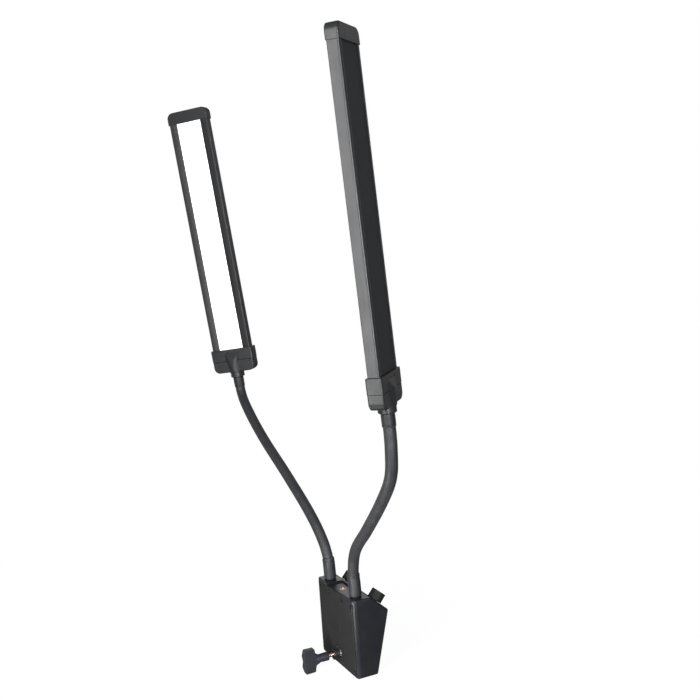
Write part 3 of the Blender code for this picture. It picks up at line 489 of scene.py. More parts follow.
def add(item, *others):
    combine(item, others, "UNION")


def bake(item):
    """Applies an item's modifiers."""
    bpy.context.view_layer.update()
    graph = bpy.context.evaluated_depsgraph_get()
    item.data = bpy.data.meshes.new_from_object(item.evaluated_get(graph))
    item.modifiers.clear()


def finish(item, body, look, node, place=None, sharp=32):
    """Applies the modifiers, shades, paints and hangs an item on its body, in place of its CAD node."""
    bake(item)
    while CUTTERS:
        bpy.data.objects.remove(CUTTERS.pop(), do_unlink=True)
    item.data.materials.clear()
    item.data.materials.append(LOOKS[look])
    item.data.shade_smooth()
    item.data.set_sharp_from_angle(angle=math.radians(sharp))
    normals = item.modifiers.new("Normals", "WEIGHTED_NORMAL")
    normals.keep_sharp = True
    bake(item)
    if place is not None:
        item.matrix_world = place
    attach(item, body)
    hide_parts(node)


# ---- reading the frame ----
BOARD_MIDDLE_Y = 0.001  # the LED board's middle lies this far in front of the head's own axis
BOARD_TUCK = 0.003  # and its low end this far below the bracket's top


def cad_points(node):
    """The distinct vertices of a CAD node."""
    mesh = frame["nodes"][node].data
    points = np.empty(len(mesh.vertices) * 3)
    mesh.vertices.foreach_get("co", points)
    return np.unique(points.reshape(-1, 3).round(6), axis=0)


def head_place(side):
    """World matrix of a light head, from its flat LED board, its grille and its joint's axis."""
    board = cad_points(f"{side}_led_board")
    centre = (board.min(0) + board.max(0)) / 2
    thin, _, long = np.linalg.eigh(np.cov((board - board.mean(0)).T))[1].T
    if long @ np.array(JOINTS[f"{side}_head_twist"]["axis"]) < 0:
        long = -long
    if thin @ (cad_points(f"{side}_back_grille").mean(0) - centre) < 0:
        thin = -thin
    across = np.cross(thin, long)
    middle = [((board @ way).min() + (board @ way).max()) / 2 for way in (across, thin)]
    base = across * middle[0] + thin * (middle[1] + BOARD_MIDDLE_Y)
    base = base + long * ((board @ long).min() + BOARD_TUCK)
    turn = Matrix([list(across), list(thin), list(long)]).transposed().to_4x4()
    return Matrix.Translation(Vector(base)) @ turn


# ---- control box ----
BOX_LOW, BOX_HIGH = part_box("base_housing")
BOX = Matrix.Translation((0, 0, BOX_LOW.z))
BOX_HALF = BOX_HIGH.x
BOX_HEIGHT = BOX_HIGH.z - BOX_LOW.z
COVER_Y = BOX_LOW.y
COVER_THICKNESS = 0.0035
COVER_HALF = BOX_HALF - 0.0048
COVER_EDGE = 0.0006  # how far the round of the cover's edge reaches
RIM = 0.0025  # height of the housing's edge below and above the cover
TOP_FRONT_Y = 0.012
SLOPE_END = (BOX_HIGH.y, 0.092)
BOTTOM_FRONT_Y = 0.017
FLOOR_WALL = 0.003
SIDE_WALL = 0.0035
TOP_WALL = 0.0055
EDGE_ROUND = 0.0028
UPRIGHT_ROUND = 0.0076
POCKET_HALF_WIDTH = 0.026
POCKET_DEPTH = 0.0027
POCKET_FRONT_Y = 0.009
NECK_X = 0.043
NECK_Y = -0.0025
NECK_HOLE_RADIUS = 0.006
SOCKET_HOLE_RADIUS = 0.0121
JACK_X = -0.038
JACK_HOLE_RADIUS = 0.0058
DISPLAY_HALF = (0.0213, 0.0098)
DISPLAY_DEPTH = 0.0014
KNOB_X = 0.044
KNOB_HOLE_RADIUS = 0.0047
INSERT_RADIUS = 0.0046
INSERT_BOSS = ((-0.009, -0.0118, 0.1045), (0.009, 0.0068, 0.112))
LOCK_Z = 0.0175
LOCK_SEAT_RADIUS = 0.0105
LOCK_SEAT_DEPTH = 0.0012
LOCK_HOLE_RADIUS = 0.0088
SCREW_HEAD_RADIUS = 0.0027
SCREW_HEAD_HEIGHT = 0.0015
SCREW_SHANK_RADIUS = 0.0014
SCREW_SINK = 0.0009
SCREWS = [name for name in sorted(frame["nodes"]) if name.startswith("cover_screw")]

SLOPE_TOP = Vector((0, TOP_FRONT_Y, BOX_HEIGHT))
SLOPE_DOWN = (Vector((0, *SLOPE_END)) - SLOPE_TOP).normalized()
SLOPE_OUT = Vector((0, -SLOPE_DOWN.z, SLOPE_DOWN.y))
SLOPE_MIDDLE = (SLOPE_TOP + Vector((0, *SLOPE_END))) / 2


def screw_place(name):
    """x and height of a cover screw."""
    low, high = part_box(name)
    return (low.x + high.x) / 2, (low.z + high.z) / 2 - BOX_LOW.z


def panel_place(x):
    """Matrix whose z leaves the sloping panel at its middle line, in the box's frame."""
    turn = Matrix((Vector((1, 0, 0)), -SLOPE_DOWN, SLOPE_OUT)).transposed().to_4x4()
    return Matrix.Translation(SLOPE_MIDDLE + Vector((x, 0, 0))) @ turn


def box_outline(inset, inset_top, back_y):
    """The box's side profile as (y, z), moved in by inset, and by inset_top under the flat top."""
    corners = [Vector((BOTTOM_FRONT_Y, 0)), Vector(SLOPE_END), Vector((TOP_FRONT_Y, BOX_HEIGHT))]
    ways = [corners[1] - corners[0], corners[2] - corners[1]]
    starts = []
    for corner, way in zip(corners, ways):
        inwards = Vector((-way.y, way.x)).normalized()
        starts.append(corner + inwards * inset)
    knee = starts[0] + ways[0] * ((starts[1] - starts[0]).cross(ways[1]) / ways[0].cross(ways[1]))
    low_z, high_z = inset, BOX_HEIGHT - inset_top
    low = starts[0] + ways[0] * ((low_z - starts[0].y) / ways[0].y)
    top = starts[1] + ways[1] * ((high_z - starts[1].y) / ways[1].y)
    return [(back_y, low_z), tuple(low), tuple(knee), tuple(top), (back_y, high_z)]


def upright_hole(name, radius, x, y, z, half_length):
    return rod(name, radius, (x, y, z - half_length), (x, y, z + half_length))


def weigh_edges(item, weight_of):
    """Sets each edge's bevel weight from the middle and direction of the edge."""
    mesh = item.data
    weights = mesh.attributes.new("bevel_weight_edge", "FLOAT", "EDGE")
    for edge, entry in zip(mesh.edges, weights.data):
        a, b = (mesh.vertices[i].co for i in edge.vertices)
        entry.value = weight_of((a + b) / 2, (b - a).normalized())


def housing():
    """The box: a thin-walled shell, open for the cover, with its pocket and holes."""
    body = prism("housing", box_outline(0, 0, COVER_Y), -BOX_HALF, BOX_HALF, "X")

    def weight(middle, way):
        upright_front = middle.y < COVER_Y + 0.001 and abs(way.z) > 0.9
        return 1.0 if upright_front else EDGE_ROUND / UPRIGHT_ROUND

    weigh_edges(body, weight)
    bevel(body, UPRIGHT_ROUND, 8, "WEIGHT")
    inner = BOX_HALF - SIDE_WALL
    cavity = prism("cavity", box_outline(FLOOR_WALL, TOP_WALL, COVER_Y - PAST), -inner, inner, "X")
    opening_outline = round_box(COVER_HALF, RIM, BOX_HEIGHT - RIM, 0.003, 0.003)
    opening = prism("opening", opening_outline, COVER_Y - PAST, COVER_Y + COVER_THICKNESS + GAP, "Y")
    pocket_outline = round_box(POCKET_HALF_WIDTH, COVER_Y - PAST, POCKET_FRONT_Y, 0.001, 0.0018)
    pocket = prism("pocket", pocket_outline, BOX_HEIGHT - POCKET_DEPTH, BOX_HEIGHT + PAST, "Z")
    cut(body, cavity)
    add(body, block("insert_boss", *INSERT_BOSS))
    cut(
        body,
        opening,
        pocket,
        upright_hole("socket_hole", SOCKET_HOLE_RADIUS, 0, 0, 0, PAST),
        upright_hole("jack_hole", JACK_HOLE_RADIUS, JACK_X, 0, 0, PAST),
        upright_hole("insert_hole", INSERT_RADIUS + GAP, 0, NECK_Y, BOX_HEIGHT, 1.5 * PAST),
    )
    through = SLOPE_OUT * (PAST / 2)
    for side in (-1, 1):
        x = side * NECK_X
        cut(body, upright_hole("neck_hole", NECK_HOLE_RADIUS, x, NECK_Y, BOX_HEIGHT, 1.4 * PAST))
        middle = SLOPE_MIDDLE + Vector((side * KNOB_X, 0, 0))
        cut(body, rod("knob_hole", KNOB_HOLE_RADIUS, middle - through, middle + through))
    half_wide, half_high = DISPLAY_HALF
    display_outline = round_box(half_wide, -half_high, half_high, 0.0004, 0.0004)
    display_seat = prism("display_seat", display_outline, -DISPLAY_DEPTH, PAST, "Z")
    cut(body, moved(display_seat, panel_place(0)))
    finish(body, "control_box", "housing", "base_housing", BOX)


def well_profile(radius, mouth, sink):
    """A round well with a chamfered mouth, about z, the cover's face at z 0 and inwards on -z."""
    wide = radius + mouth
    return [(0, PAST), (wide, PAST), (wide, 0), (radius, -mouth), (radius, -sink), (0, -sink)]


def cover():
    """The flat cover with a rounded edge, the screws' wells and the seat of the lock screw's ring."""
    edge = COVER_EDGE
    sections = []
    for depth, inset in ((0, edge), (0.3 * edge, 0.42 * edge), (edge, 0), (COVER_THICKNESS, 0)):
        low, high = RIM + GAP + inset, BOX_HEIGHT - RIM - GAP - inset
        outline = round_box(COVER_HALF - GAP - inset, low, high, 0.003 - GAP, 0.003 - GAP)
        sections.append([(u, COVER_Y + depth, v) for u, v in outline])
    plate = loft("cover", sections)
    facing = Matrix.Rotation(math.radians(90), 4, "X")
    behind = (0, 0, -COVER_THICKNESS - PAST)
    for name in SCREWS:
        x, z = screw_place(name)
        place = Matrix.Translation((x, COVER_Y, z)) @ facing
        depth = SCREW_SINK + SCREW_HEAD_HEIGHT + GAP
        well = revolve("well", well_profile(SCREW_HEAD_RADIUS + GAP, 0.00035, depth), 32)
        hole = rod("screw_hole", SCREW_SHANK_RADIUS + GAP, (0, 0, 0), behind)
        cut(plate, moved(well, place), moved(hole, place))
    place = Matrix.Translation((0, COVER_Y, LOCK_Z)) @ facing
    seat = revolve("ring_seat", well_profile(LOCK_SEAT_RADIUS, 0.0004, LOCK_SEAT_DEPTH), 48)
    hole = rod("boss_hole", LOCK_HOLE_RADIUS, (0, 0, 0.001), behind, 40)
    cut(plate, moved(seat, place), moved(hole, place))
    finish(plate, "control_box", "cover", "cover_plate", BOX)


def screws():
    """Low round-headed screws with a hexagonal recess, sunk in their wells."""
    top, rim, shank = SCREW_HEAD_HEIGHT, SCREW_HEAD_RADIUS, SCREW_SHANK_RADIUS
    profile = [(0, top), (rim * 0.62, top), (rim * 0.82, top - 0.0001), (rim * 0.95, top - 0.0004)]
    profile += [(rim, top * 0.5), (rim, 0), (shank, 0)]
    profile += [(shank, -0.0052), (shank - 0.0005, -0.0056), (0, -0.0058)]
    for name in SCREWS:
        x, z = screw_place(name)
        screw = revolve(name.replace("cover_screw", "screw"), profile, 32)
        cut(screw, rod("key", 0.0012, (0, 0, top - 0.0009), (0, 0, top + PAST), 6))
        seat_y = COVER_Y + SCREW_SINK + SCREW_HEAD_HEIGHT
        place = BOX @ Matrix.Translation((x, seat_y, z)) @ Matrix.Rotation(math.radians(90), 4, "X")
        finish(screw, "control_box", "black_screw", name, place)


def insert():
    """The threaded insert in the pocket, with a chamfered rim and turned grooves for the thread."""
    top = BOX_HEIGHT - POCKET_DEPTH - 0.0002
    outer, bore, length, pitch = INSERT_RADIUS, 0.0026, 0.0075, 0.00127
    profile = [(bore + 0.0006, top), (outer - 0.0003, top), (outer, top - 0.0003)]
    profile += [(outer, top - length), (bore, top - length)]
    turns = int((length - 0.0012) / pitch)
    for turn in range(turns):
        z = top - length + 0.0002 + turn * pitch
        profile += [(bore, z), (bore + 0.0005, z + pitch / 2), (bore, z + pitch * 0.95)]
    made = revolve("thread_insert", profile, 40, loop=True)
    place = BOX @ Matrix.Translation((0, NECK_Y, 0))
    finish(made, "control_box", "brass", "accessory_thread_insert", place)


def knob(side, name):
    """A knob with fine upright grips, a plain rim and a slightly sunk face with a pointer groove."""
    bottom, top, radius = 0.0005, 0.0143, 0.011
    grip_depth, grips, grip_points = 0.00028, 40, (7, 8)
    skirt, bore = 0.0055, 0.0033
    profile = [(0, top - 0.0005), (radius - 0.0028, top - 0.0005), (radius - 0.0022, top)]
    profile += [(radius - 0.0012, top), (radius - 0.0006, top - 0.0003), (radius - 0.0003, top - 0.0009)]
    profile += [(radius - 0.0003, top - 0.0022), (radius - 0.0003, top - 0.0026)]
    profile += [(radius - 0.0001, bottom + 0.0014), (radius - 0.0001, bottom + 0.0010)]
    profile += [(radius, bottom + 0.0004), (radius - 0.0003, bottom), (skirt, bottom)]
    profile += [(skirt, bottom + 0.0025), (bore, bottom + 0.0025), (bore, 0.0105), (0, 0.0105)]

    def wobble(number, angle):
        return -grip_depth * (0.5 - 0.5 * math.cos(grips * angle)) if number in grip_points else 0

    made = revolve(f"{name}_cap", profile, grips * 6, wobble=wobble)
    pointer = block("pointer", (-0.0005, 0.0030, top - 0.0010), (0.0005, radius - 0.0026, top + PAST))
    cut(made, pointer)
    place = BOX @ panel_place(side * KNOB_X)
    finish(made, name, "knob", name, place)


# ---- lock screw ----
# LOCK's z is the world's -Y; heights along it are counted from the box's middle
LOCK = BOX @ Matrix.Translation((0, 0, LOCK_Z)) @ Matrix.Rotation(math.radians(90), 4, "X")
LOCK_SHAFT_RADIUS = 0.003
LOCK_TIP = 0.0109
LOCK_HUB_START = 0.0336
LOCK_WING_START = 0.052
LOCK_END = 0.074
WING_HALF_THICK = 0.005
BOSS_START = 0.0121
BOSS_END = 0.0256
BOSS_RADIUS = 0.0082
BOSS_GROOVE = (0.0196, 0.0212)
BOSS_GROOVE_DEPTH = 0.0006
RING_RADIUS = 0.0102
THREAD_PITCH = 0.001
THREAD_DEPTH = 0.00035
THREAD_RUN_OUT = 0.0004  # how much slimmer the shaft's two ends are


def threaded_rod(name, radius, low, high, steps=24):
    """A rod about z with a helical thread that runs out at both ends."""
    slices = int((high - low) / THREAD_PITCH * 6)
    points, rings = [(0, 0, low)], [[0]]
    for index in range(slices + 1):
        z = low + (high - low) * index / slices
        fade = min(1.0, (z - low) / THREAD_PITCH, (high - z) / THREAD_PITCH)
        rings.append(list(range(len(points), len(points) + steps)))
        for step in range(steps):
            share = (z / THREAD_PITCH - step / steps) % 1.0
            reach = radius - THREAD_DEPTH * abs(2 * share - 1) * fade - THREAD_RUN_OUT * (1 - fade)
            angle = 2 * math.pi * step / steps
            points.append((reach * math.cos(angle), reach * math.sin(angle), z))
    rings.append([len(points)])
    points.append((0, 0, high))
    return new_item(name, points, joined(rings))


def lock_boss():
    """The lock screw's boss: a castellated collar that stands out of the cover, on a bright ring."""
    bore = LOCK_SHAFT_RADIUS + GAP
    groove_low, groove_high = BOSS_GROOVE
    groove_radius = BOSS_RADIUS - BOSS_GROOVE_DEPTH
    profile = [(bore + 0.0016, BOSS_END - 0.0010), (bore + 0.0019, BOSS_END)]
    profile += [(BOSS_RADIUS - 0.0010, BOSS_END), (BOSS_RADIUS - 0.0003, BOSS_END - 0.0003)]
    profile += [(BOSS_RADIUS, BOSS_END - 0.0010), (BOSS_RADIUS, groove_high)]
    profile += [(groove_radius, groove_high - 0.0004), (groove_radius, groove_low + 0.0004)]
    profile += [(BOSS_RADIUS, groove_low), (BOSS_RADIUS, BOSS_START)]
    profile += [(bore, BOSS_START), (bore, BOSS_END - 0.0022)]
    boss = revolve("lock_boss_collar", profile, 64, loop=True)
    for angle in range(30, 390, 60):
        slot = block("slot", (0.0056, -0.0011, BOSS_END - 0.0016), (0.02, 0.0011, BOSS_END + PAST))
        cut(boss, moved(slot, Matrix.Rotation(math.radians(angle), 4, "Z")))
    finish(boss, "control_box", "boss", "lock_boss", LOCK)

    inner, outer = BOSS_RADIUS + GAP, RING_RADIUS
    low, high = -COVER_Y - LOCK_SEAT_DEPTH + GAP, -COVER_Y + 0.0006
    profile = [(inner, high - 0.0002), (inner + 0.0002, high), (outer - 0.0004, high)]
    profile += [(outer, high - 0.0004), (outer, low), (inner, low)]
    washer = revolve("lock_washer", profile, 64, loop=True)
    finish(washer, "control_box", "washer", "lock_ring", LOCK)


def lock_handle():
    """The threaded shaft and its handle: a grooved hub that flares into two flat wings."""
    shaft_end = LOCK_HUB_START + 0.012
    shaft = threaded_rod("lock_thread", LOCK_SHAFT_RADIUS, LOCK_TIP, shaft_end)
    finish(shaft, "lock_screw", "brass", "lock_shaft", LOCK, sharp=80)

    bore = LOCK_SHAFT_RADIUS + GAP
    start = LOCK_HUB_START
    wing_start = LOCK_WING_START
    profile = [(0, wing_start + 0.006), (0.0040, wing_start + 0.006), (0.0058, wing_start + 0.001)]
    profile += [(0.0060, wing_start - 0.002), (0.0062, start + 0.0098), (0.0064, start + 0.0085)]
    profile += [(0.0064, start + 0.0010), (0.0061, start + 0.0003), (0.0055, start), (bore, start)]
    profile += [(bore, shaft_end + GAP), (0, shaft_end + GAP)]
    handle = revolve("lock_grip", profile, 48)
    tip, end = 0.0178, LOCK_END
    lobe = end - 0.0192
    half = [  # corners of one wing's outline, each with its rounding radius
        ((0.0050, wing_start - 0.0045), 0.003),
        ((0.0078, lobe - 0.0004), 0.0030),
        ((tip - 0.0004, lobe + 0.0014), 0.0012),
        ((tip, end - 0.0030), 0.0012),
        ((0.0085, end - 0.0004), 0.004),
    ]
    waist = ((0.0, end - 0.0018), 0.012)
    order = half + [waist] + [((-u, v), radius) for (u, v), radius in reversed(half)]
    outline = rounded([corner for corner, _ in order], [radius for _, radius in order])
    wings = prism("wings", outline, -WING_HALF_THICK, WING_HALF_THICK, "X")
    bevel(wings, 0.0009, 3, "ANGLE", 50)
    bake(wings)
    add(handle, wings)
    finish(handle, "lock_screw", "handle", "lock_handle", LOCK)


# ---- goosenecks ----
SLEEVE_RADIUS = 0.008
SLEEVE_BORE = 0.0064
FERRULE_RADIUS = 0.0092
FERRULE_STEP = 0.0006  # how much slimmer the foot of a base ferrule is
HEAD_FERRULE_RADIUS = 0.0089
BEND_REACH = 0.024  # a stretch on either side of a joint at which rubber_skin looks up the line; the points found are not used
SLEEVE_RINGS = 0.0035  # spacing of the rings that a sleeve is made of
END_RING = 0.0004  # a last thin ring at each end keeps the shading even where two sleeves meet
FOOT_LIFT = 0.0009  # how high a foot ferrule of the CAD stands above the box
FOOT_GAP = 0.0002  # and how high the ferrule here does
HIDDEN = 0.0004  # how far a sleeve's end runs into a ferrule
LINE_STEP = 0.001  # spacing of a neck line's points
RING_BREAK = 0.0025  # CAD vertices further apart than this along a neck belong to two rings
RING_SPACING = 0.006  # the least distance of two rings that a neck line passes through


class NeckLine:
    """Centre line of one gooseneck at rest, read from the rings of its CAD sleeves and its joints."""

    def __init__(self, side):
        self.side = side
        sleeves = [f"{side}_sleeve_{i}" for i in range(1, 5)]
        nodes = [f"{side}_base_collar", *sleeves, f"{side}_head_collar"]
        self.clouds = {node: cad_points(node) for node in nodes}
        self.pins = [Vector(JOINTS[f"{side}_bend_{i}"]["pos_m"]) for i in range(1, 5)]
        self.top_way = Vector(JOINTS[f"{side}_head_twist"]["axis"]).normalized()
        root = cad_points(f"{side}_neck_root")
        x, y, _ = root[root[:, 2] < root[:, 2].min() + 0.0005].mean(0)
        foot = Vector((x, y, BOX_HIGH.z + FOOT_LIFT))
        head = Vector(JOINTS[f"{side}_head_twist"]["pos_m"])
        self.lay([foot, *self.pins, head])
        for _ in range(2):
            self.lay(self.ring_centres(foot))
        self.spans = {node: self.span(cloud) for node, cloud in self.clouds.items()}
        self.joints = [float(self.lengths_of(np.array([list(pin)]))[0]) for pin in self.pins]

    def lay(self, places):
        """Draws the smooth line through places, and the frames along it."""
        ways = [(after - before).normalized() for before, after in zip(places, places[2:])]
        ways = [Vector((0, 0, 1)), *ways, self.top_way]
        points = [places[0]]
        for i, (a, b) in enumerate(zip(places, places[1:])):
            chord = (b - a).length
            steps = max(2, round(chord / LINE_STEP))
            for step in range(1, steps + 1):
                t = step / steps
                points.append(
                    a * (2 * t**3 - 3 * t**2 + 1)
                    + ways[i] * chord * (t**3 - 2 * t**2 + t)
                    + b * (3 * t**2 - 2 * t**3)
                    + ways[i + 1] * chord * (t**3 - t**2)
                )
        self.points = np.array([list(point) for point in points])
        steps = np.linalg.norm(np.diff(self.points, axis=0), axis=1)
        self.lengths = np.concatenate([[0.0], np.cumsum(steps)])
        self.total = float(self.lengths[-1])
        ways = np.gradient(self.points, self.lengths, axis=0)
        self.ways = ways / np.linalg.norm(ways, axis=1)[:, None]
        across = np.array([1.0, 0.0, 0.0])
        sides = []
        for way in self.ways:
            across = across - way * (across @ way)
            across = across / np.linalg.norm(across)
            sides.append(across)
        self.sides = np.array(sides)

    def lengths_of(self, cloud):
        """Arc lengths of the line's points nearest to those of a cloud."""
        found = []
        for point in cloud:
            near = int(np.argmin(((self.points - point) ** 2).sum(1)))
            found.append(self.lengths[near] + (point - self.points[near]) @ self.ways[near])
        return np.array(found)

    def ring_centres(self, foot):
        """Middles of the rings of vertices that the CAD sleeves are made of, in order."""
        found = []
        for cloud in self.clouds.values():
            lengths = self.lengths_of(cloud)
            order = np.argsort(lengths)
            breaks = np.where(np.diff(lengths[order]) > RING_BREAK)[0] + 1
            for group in np.split(order, breaks):
                middle = Vector((cloud[group].min(0) + cloud[group].max(0)) / 2)
                found.append((float(lengths[group].mean()), middle, len(group)))
        usual = sorted(count for _, _, count in found)[len(found) // 2]
        rings = sorted((s, centre) for s, centre, count in found if count >= usual * 0.9)
        places, last = [foot], 0.0
        for s, centre in rings:
            if s - last > RING_SPACING:
                places.append(centre)
                last = s
        return places

    def span(self, cloud):
        """First and last arc length of a cloud."""
        lengths = self.lengths_of(cloud)
        return float(lengths.min()), float(lengths.max())

    def at(self, s):
        """Point, direction and two crosswise directions at an arc length.

        The line runs on straight at both ends.
        """
        inside = min(max(s, 0.0), self.total)
        point = Vector([np.interp(inside, self.lengths, self.points[:, i]) for i in range(3)])
        way = Vector([np.interp(inside, self.lengths, self.ways[:, i]) for i in range(3)]).normalized()
        across = Vector([np.interp(inside, self.lengths, self.sides[:, i]) for i in range(3)])
        across = (across - way * across.dot(way)).normalized()
        return point + way * (s - inside), way, across, way.cross(across)

    def swept(self, name, profile, steps=40):
        """A closed ring-shaped solid round the line, from a loop of (arc length, radius) points."""
        sections = []
        for s, radius in profile:
            point, _, u, v = self.at(s)
            angles = [2 * math.pi * step / steps for step in range(steps)]
            sections.append([point + (u * math.cos(a) + v * math.sin(a)) * radius for a in angles])
        return loft(name, sections, loop=True)


def rubber_skin(line, number, start, end):
    """One stretch of the rubber sleeve over one joint, swept along the neck's line at rest."""
    count = max(4, round((end - start) / SLEEVE_RINGS))
    stations = [start, start + END_RING]
    stations += [start + (end - start) * i / count for i in range(1, count)]
    stations += [end - END_RING, end]
    profile = [(s, SLEEVE_RADIUS) for s in stations] + [(s, SLEEVE_BORE) for s in reversed(stations)]
    skin = line.swept(f"{line.side}_skin_{number}", profile, 48)
    skin.data.materials.append(LOOKS["rubber"])
    skin.data.shade_smooth()
    skin.data.set_sharp_from_angle(angle=math.radians(40))
    joint = line.joints[number - 1]
    bend_start = max(joint - BEND_REACH, line.spans[f"{line.side}_base_collar"][1])
    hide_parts(f"{line.side}_sleeve_{number}")
    line.at(bend_start)[0]
    line.at(joint + BEND_REACH)[0]
    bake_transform(skin)


def ferrule(line, node, low, high, radius, step, body, groove):
    """A thicker rubber ferrule in place of a node, with a foot slimmer by step and a shallow groove.

    The groove is given by its height above the ferrule's start, its width and its depth.
    """
    slim = radius - step
    outer = [(low, slim - 0.0007), (low + 0.0003, slim - 0.0002), (low + 0.0008, slim)]
    outer += [(low + 0.0020, slim), (low + 0.0021, radius - 0.0002), (low + 0.0026, radius)]
    height, width, depth = groove
    start, floor = low + height, radius - depth
    outer += [(start, radius), (start + width * 0.25, floor)]
    outer += [(start + width * 0.75, floor), (start + width, radius)]
    outer += [(high - 0.0009, radius), (high - 0.0003, radius - 0.0003), (high, radius - 0.0009)]
    inner = [(high, SLEEVE_BORE), ((low + high) / 2, SLEEVE_BORE), (low, SLEEVE_BORE)]
    made = line.swept(node.replace("collar", "ferrule"), filled(outer, 0.003) + inner, 56)
    finish(made, body, "ferrule", node)


def filled(profile, most):
    """A profile with points added so that none are further apart than most along it."""
    points = [profile[0]]
    for (a, p), (b, q) in zip(profile, profile[1:]):
        parts = max(1, math.ceil((b - a) / most))
        points += [(a + (b - a) * i / parts, p + (q - p) * i / parts) for i in range(1, parts + 1)]
    return points


def gooseneck(side):
    """The rubber sleeves and the two ferrules of one neck."""
    line = NeckLine(side)
    base_high = line.spans[f"{side}_base_collar"][1]
    head_low, head_high = line.spans[f"{side}_head_collar"]
    joints = line.joints
    ends = [base_high - HIDDEN] + [(a + b) / 2 for a, b in zip(joints, joints[1:])] + [head_low + HIDDEN]
    for number in range(1, 5):
        rubber_skin(line, number, ends[number - 1], ends[number])
    groove = (0.0268, 0.0012, 0.0004)
    foot = (FOOT_GAP - FOOT_LIFT, base_high, FERRULE_RADIUS, FERRULE_STEP)
    ferrule(line, f"{side}_base_collar", *foot, "control_box", groove)
    groove = (0.0030, 0.0010, 0.0003)
    head = (head_low, head_high, HEAD_FERRULE_RADIUS, 0.0)
    ferrule(line, f"{side}_head_collar", *head, f"{side}_arm_4", groove)


# ---- light heads ----
# a HALF is half a width across x, and a DEEP half a depth along y
BAR_LENGTH = 0.385
BAR_HALF = 0.0345
BAR_DEEP = 0.008
BAR_LOW = -0.0055
BAR_TOP = BAR_LENGTH + 0.008
INNER_HALF = 0.0325
WINDOW_HALF = 0.0214
LIP = (0.0283, -0.00685)  # where the sloping lip meets the flat bezel, and how deep it is at the window
LIP_UNDER = -0.0065
BEZEL_ROUND = 0.0010
WEB = (0.0, 0.002)
RAIL_EDGE = 0.0290
RAIL_UNDER = 0.0064
RAIL_ROUND = 0.0032
CAP_HALF = 0.0362
CAP_DEEP = 0.0088
CAP_TOP = BAR_LENGTH + 0.020
CAP_ROUNDS = (0.0014, 0.0030)  # of the edges in front and at the back
CORNER_ROUND = 0.010
BRACKET_HALF = 0.0377
BRACKET_DEEP = 0.0105
BRACKET_LOW = -0.040
BRACKET_SPLIT = -0.020
BRACKET_ROUNDS = (0.0022, 0.0026)
HUB_TOP_Z = -0.0062
HUB_FLANGE_Z = -0.0405
HUB_BOTTOM_Z = -0.0493
HUB_TOP_RADIUS = 0.016
HUB_LOW_RADIUS = 0.0128
HUB_FLANGE_RADIUS = 0.0118
FACET_RUN = 0.0047
FACET_DROP = 0.0125
FACET_OVERRUN = 1.6  # how far a facet's cutter runs past the facet
DIFFUSER_HALF = 0.0265
DIFFUSER_Y = (-0.0062, -0.0046)
GRILLE_HALF = 0.0322
GRILLE_Y = (0.0050, 0.0062)
GRILLE_PITCH = (0.0015, 0.003)
INSET_Z = (-0.004, BAR_LENGTH + 0.006)  # ends of the diffuser and the grille, hidden in bracket and cap
FRAME_WIRE = 0.0012  # half widths of the grille's wires, the inner two as shares of the pitch
UPRIGHT_WIRE = 0.27
LEVEL_WIRE = 0.14


def bar_section():
    """Cross-section of the extrusion: lips that slope to the window in front, round rails at the back."""
    lip_x, lip_y = LIP
    right = [(WINDOW_HALF, lip_y), (lip_x, -BAR_DEEP)]
    right += arc(BAR_HALF - BEZEL_ROUND, -BAR_DEEP + BEZEL_ROUND, BEZEL_ROUND, -90, 0, 5)
    right += arc(BAR_HALF - RAIL_ROUND, BAR_DEEP - RAIL_ROUND, RAIL_ROUND, 0, 90, 10)
    right += [(RAIL_EDGE + 0.0004, BAR_DEEP), (RAIL_EDGE, BAR_DEEP - 0.0004), (RAIL_EDGE, RAIL_UNDER)]
    right += [(INNER_HALF, RAIL_UNDER), (INNER_HALF, WEB[1])]
    front = [(INNER_HALF, WEB[0]), (INNER_HALF, LIP_UNDER), (WINDOW_HALF, LIP_UNDER)]
    mirrored = [[(-x, y) for x, y in reversed(points)] for points in (right, front)]
    return right + mirrored[0] + mirrored[1] + front


def slab(name, outline_at, deep, front_round, back_round, steps=6):
    """A flat solid whose front and back edges are rounded; outline_at(inset) gives its (x, z) outline."""
    stations = []
    for step in range(steps + 1):
        a = math.radians(90 * step / steps)
        stations.append((-deep + front_round * (1 - math.cos(a)), front_round * (1 - math.sin(a))))
    for step in range(steps + 1):
        a = math.radians(90 * (1 - step / steps))
        stations.append((deep - back_round * (1 - math.cos(a)), back_round * (1 - math.sin(a))))
    return loft(name, [[(u, y, v) for u, v in outline_at(inset)] for y, inset in stations])


def bar_room(low_z, high_z):
    """The room that the extrusion needs in a cap or bracket."""
    half, deep = BAR_HALF + GAP, BAR_DEEP + GAP
    return block("bar_room", (-half, -deep, low_z), (half, deep, high_z))


def hub_profile(extra=0.0):
    """Profile of the tapered hub and its flange, larger all round by extra."""
    top = HUB_TOP_Z + extra
    return [
        (0, top),
        (HUB_TOP_RADIUS + extra, top),
        (HUB_LOW_RADIUS + extra, HUB_FLANGE_Z),
        (HUB_FLANGE_RADIUS + extra, HUB_FLANGE_Z - 0.0005),
        (HUB_FLANGE_RADIUS + extra, HUB_BOTTOM_Z + 0.0008),
        (HUB_FLANGE_RADIUS - 0.0008, HUB_BOTTOM_Z - extra),
        (0, HUB_BOTTOM_Z - extra),
    ]


def facets():
    """Cutters for the two sloping facets at the hub's top."""
    made = []
    near, far = BRACKET_DEEP - 0.0005, BRACKET_DEEP + FACET_RUN * FACET_OVERRUN
    above, top = HUB_TOP_Z + 0.002, HUB_TOP_Z - 0.0008
    for side in (-1, 1):
        outline = [(side * near, above), (side * near, top)]
        outline += [(side * far, top - FACET_DROP * FACET_OVERRUN), (side * far, above)]
        made.append(prism("facet", outline, -0.03, 0.03, "X"))
    return made


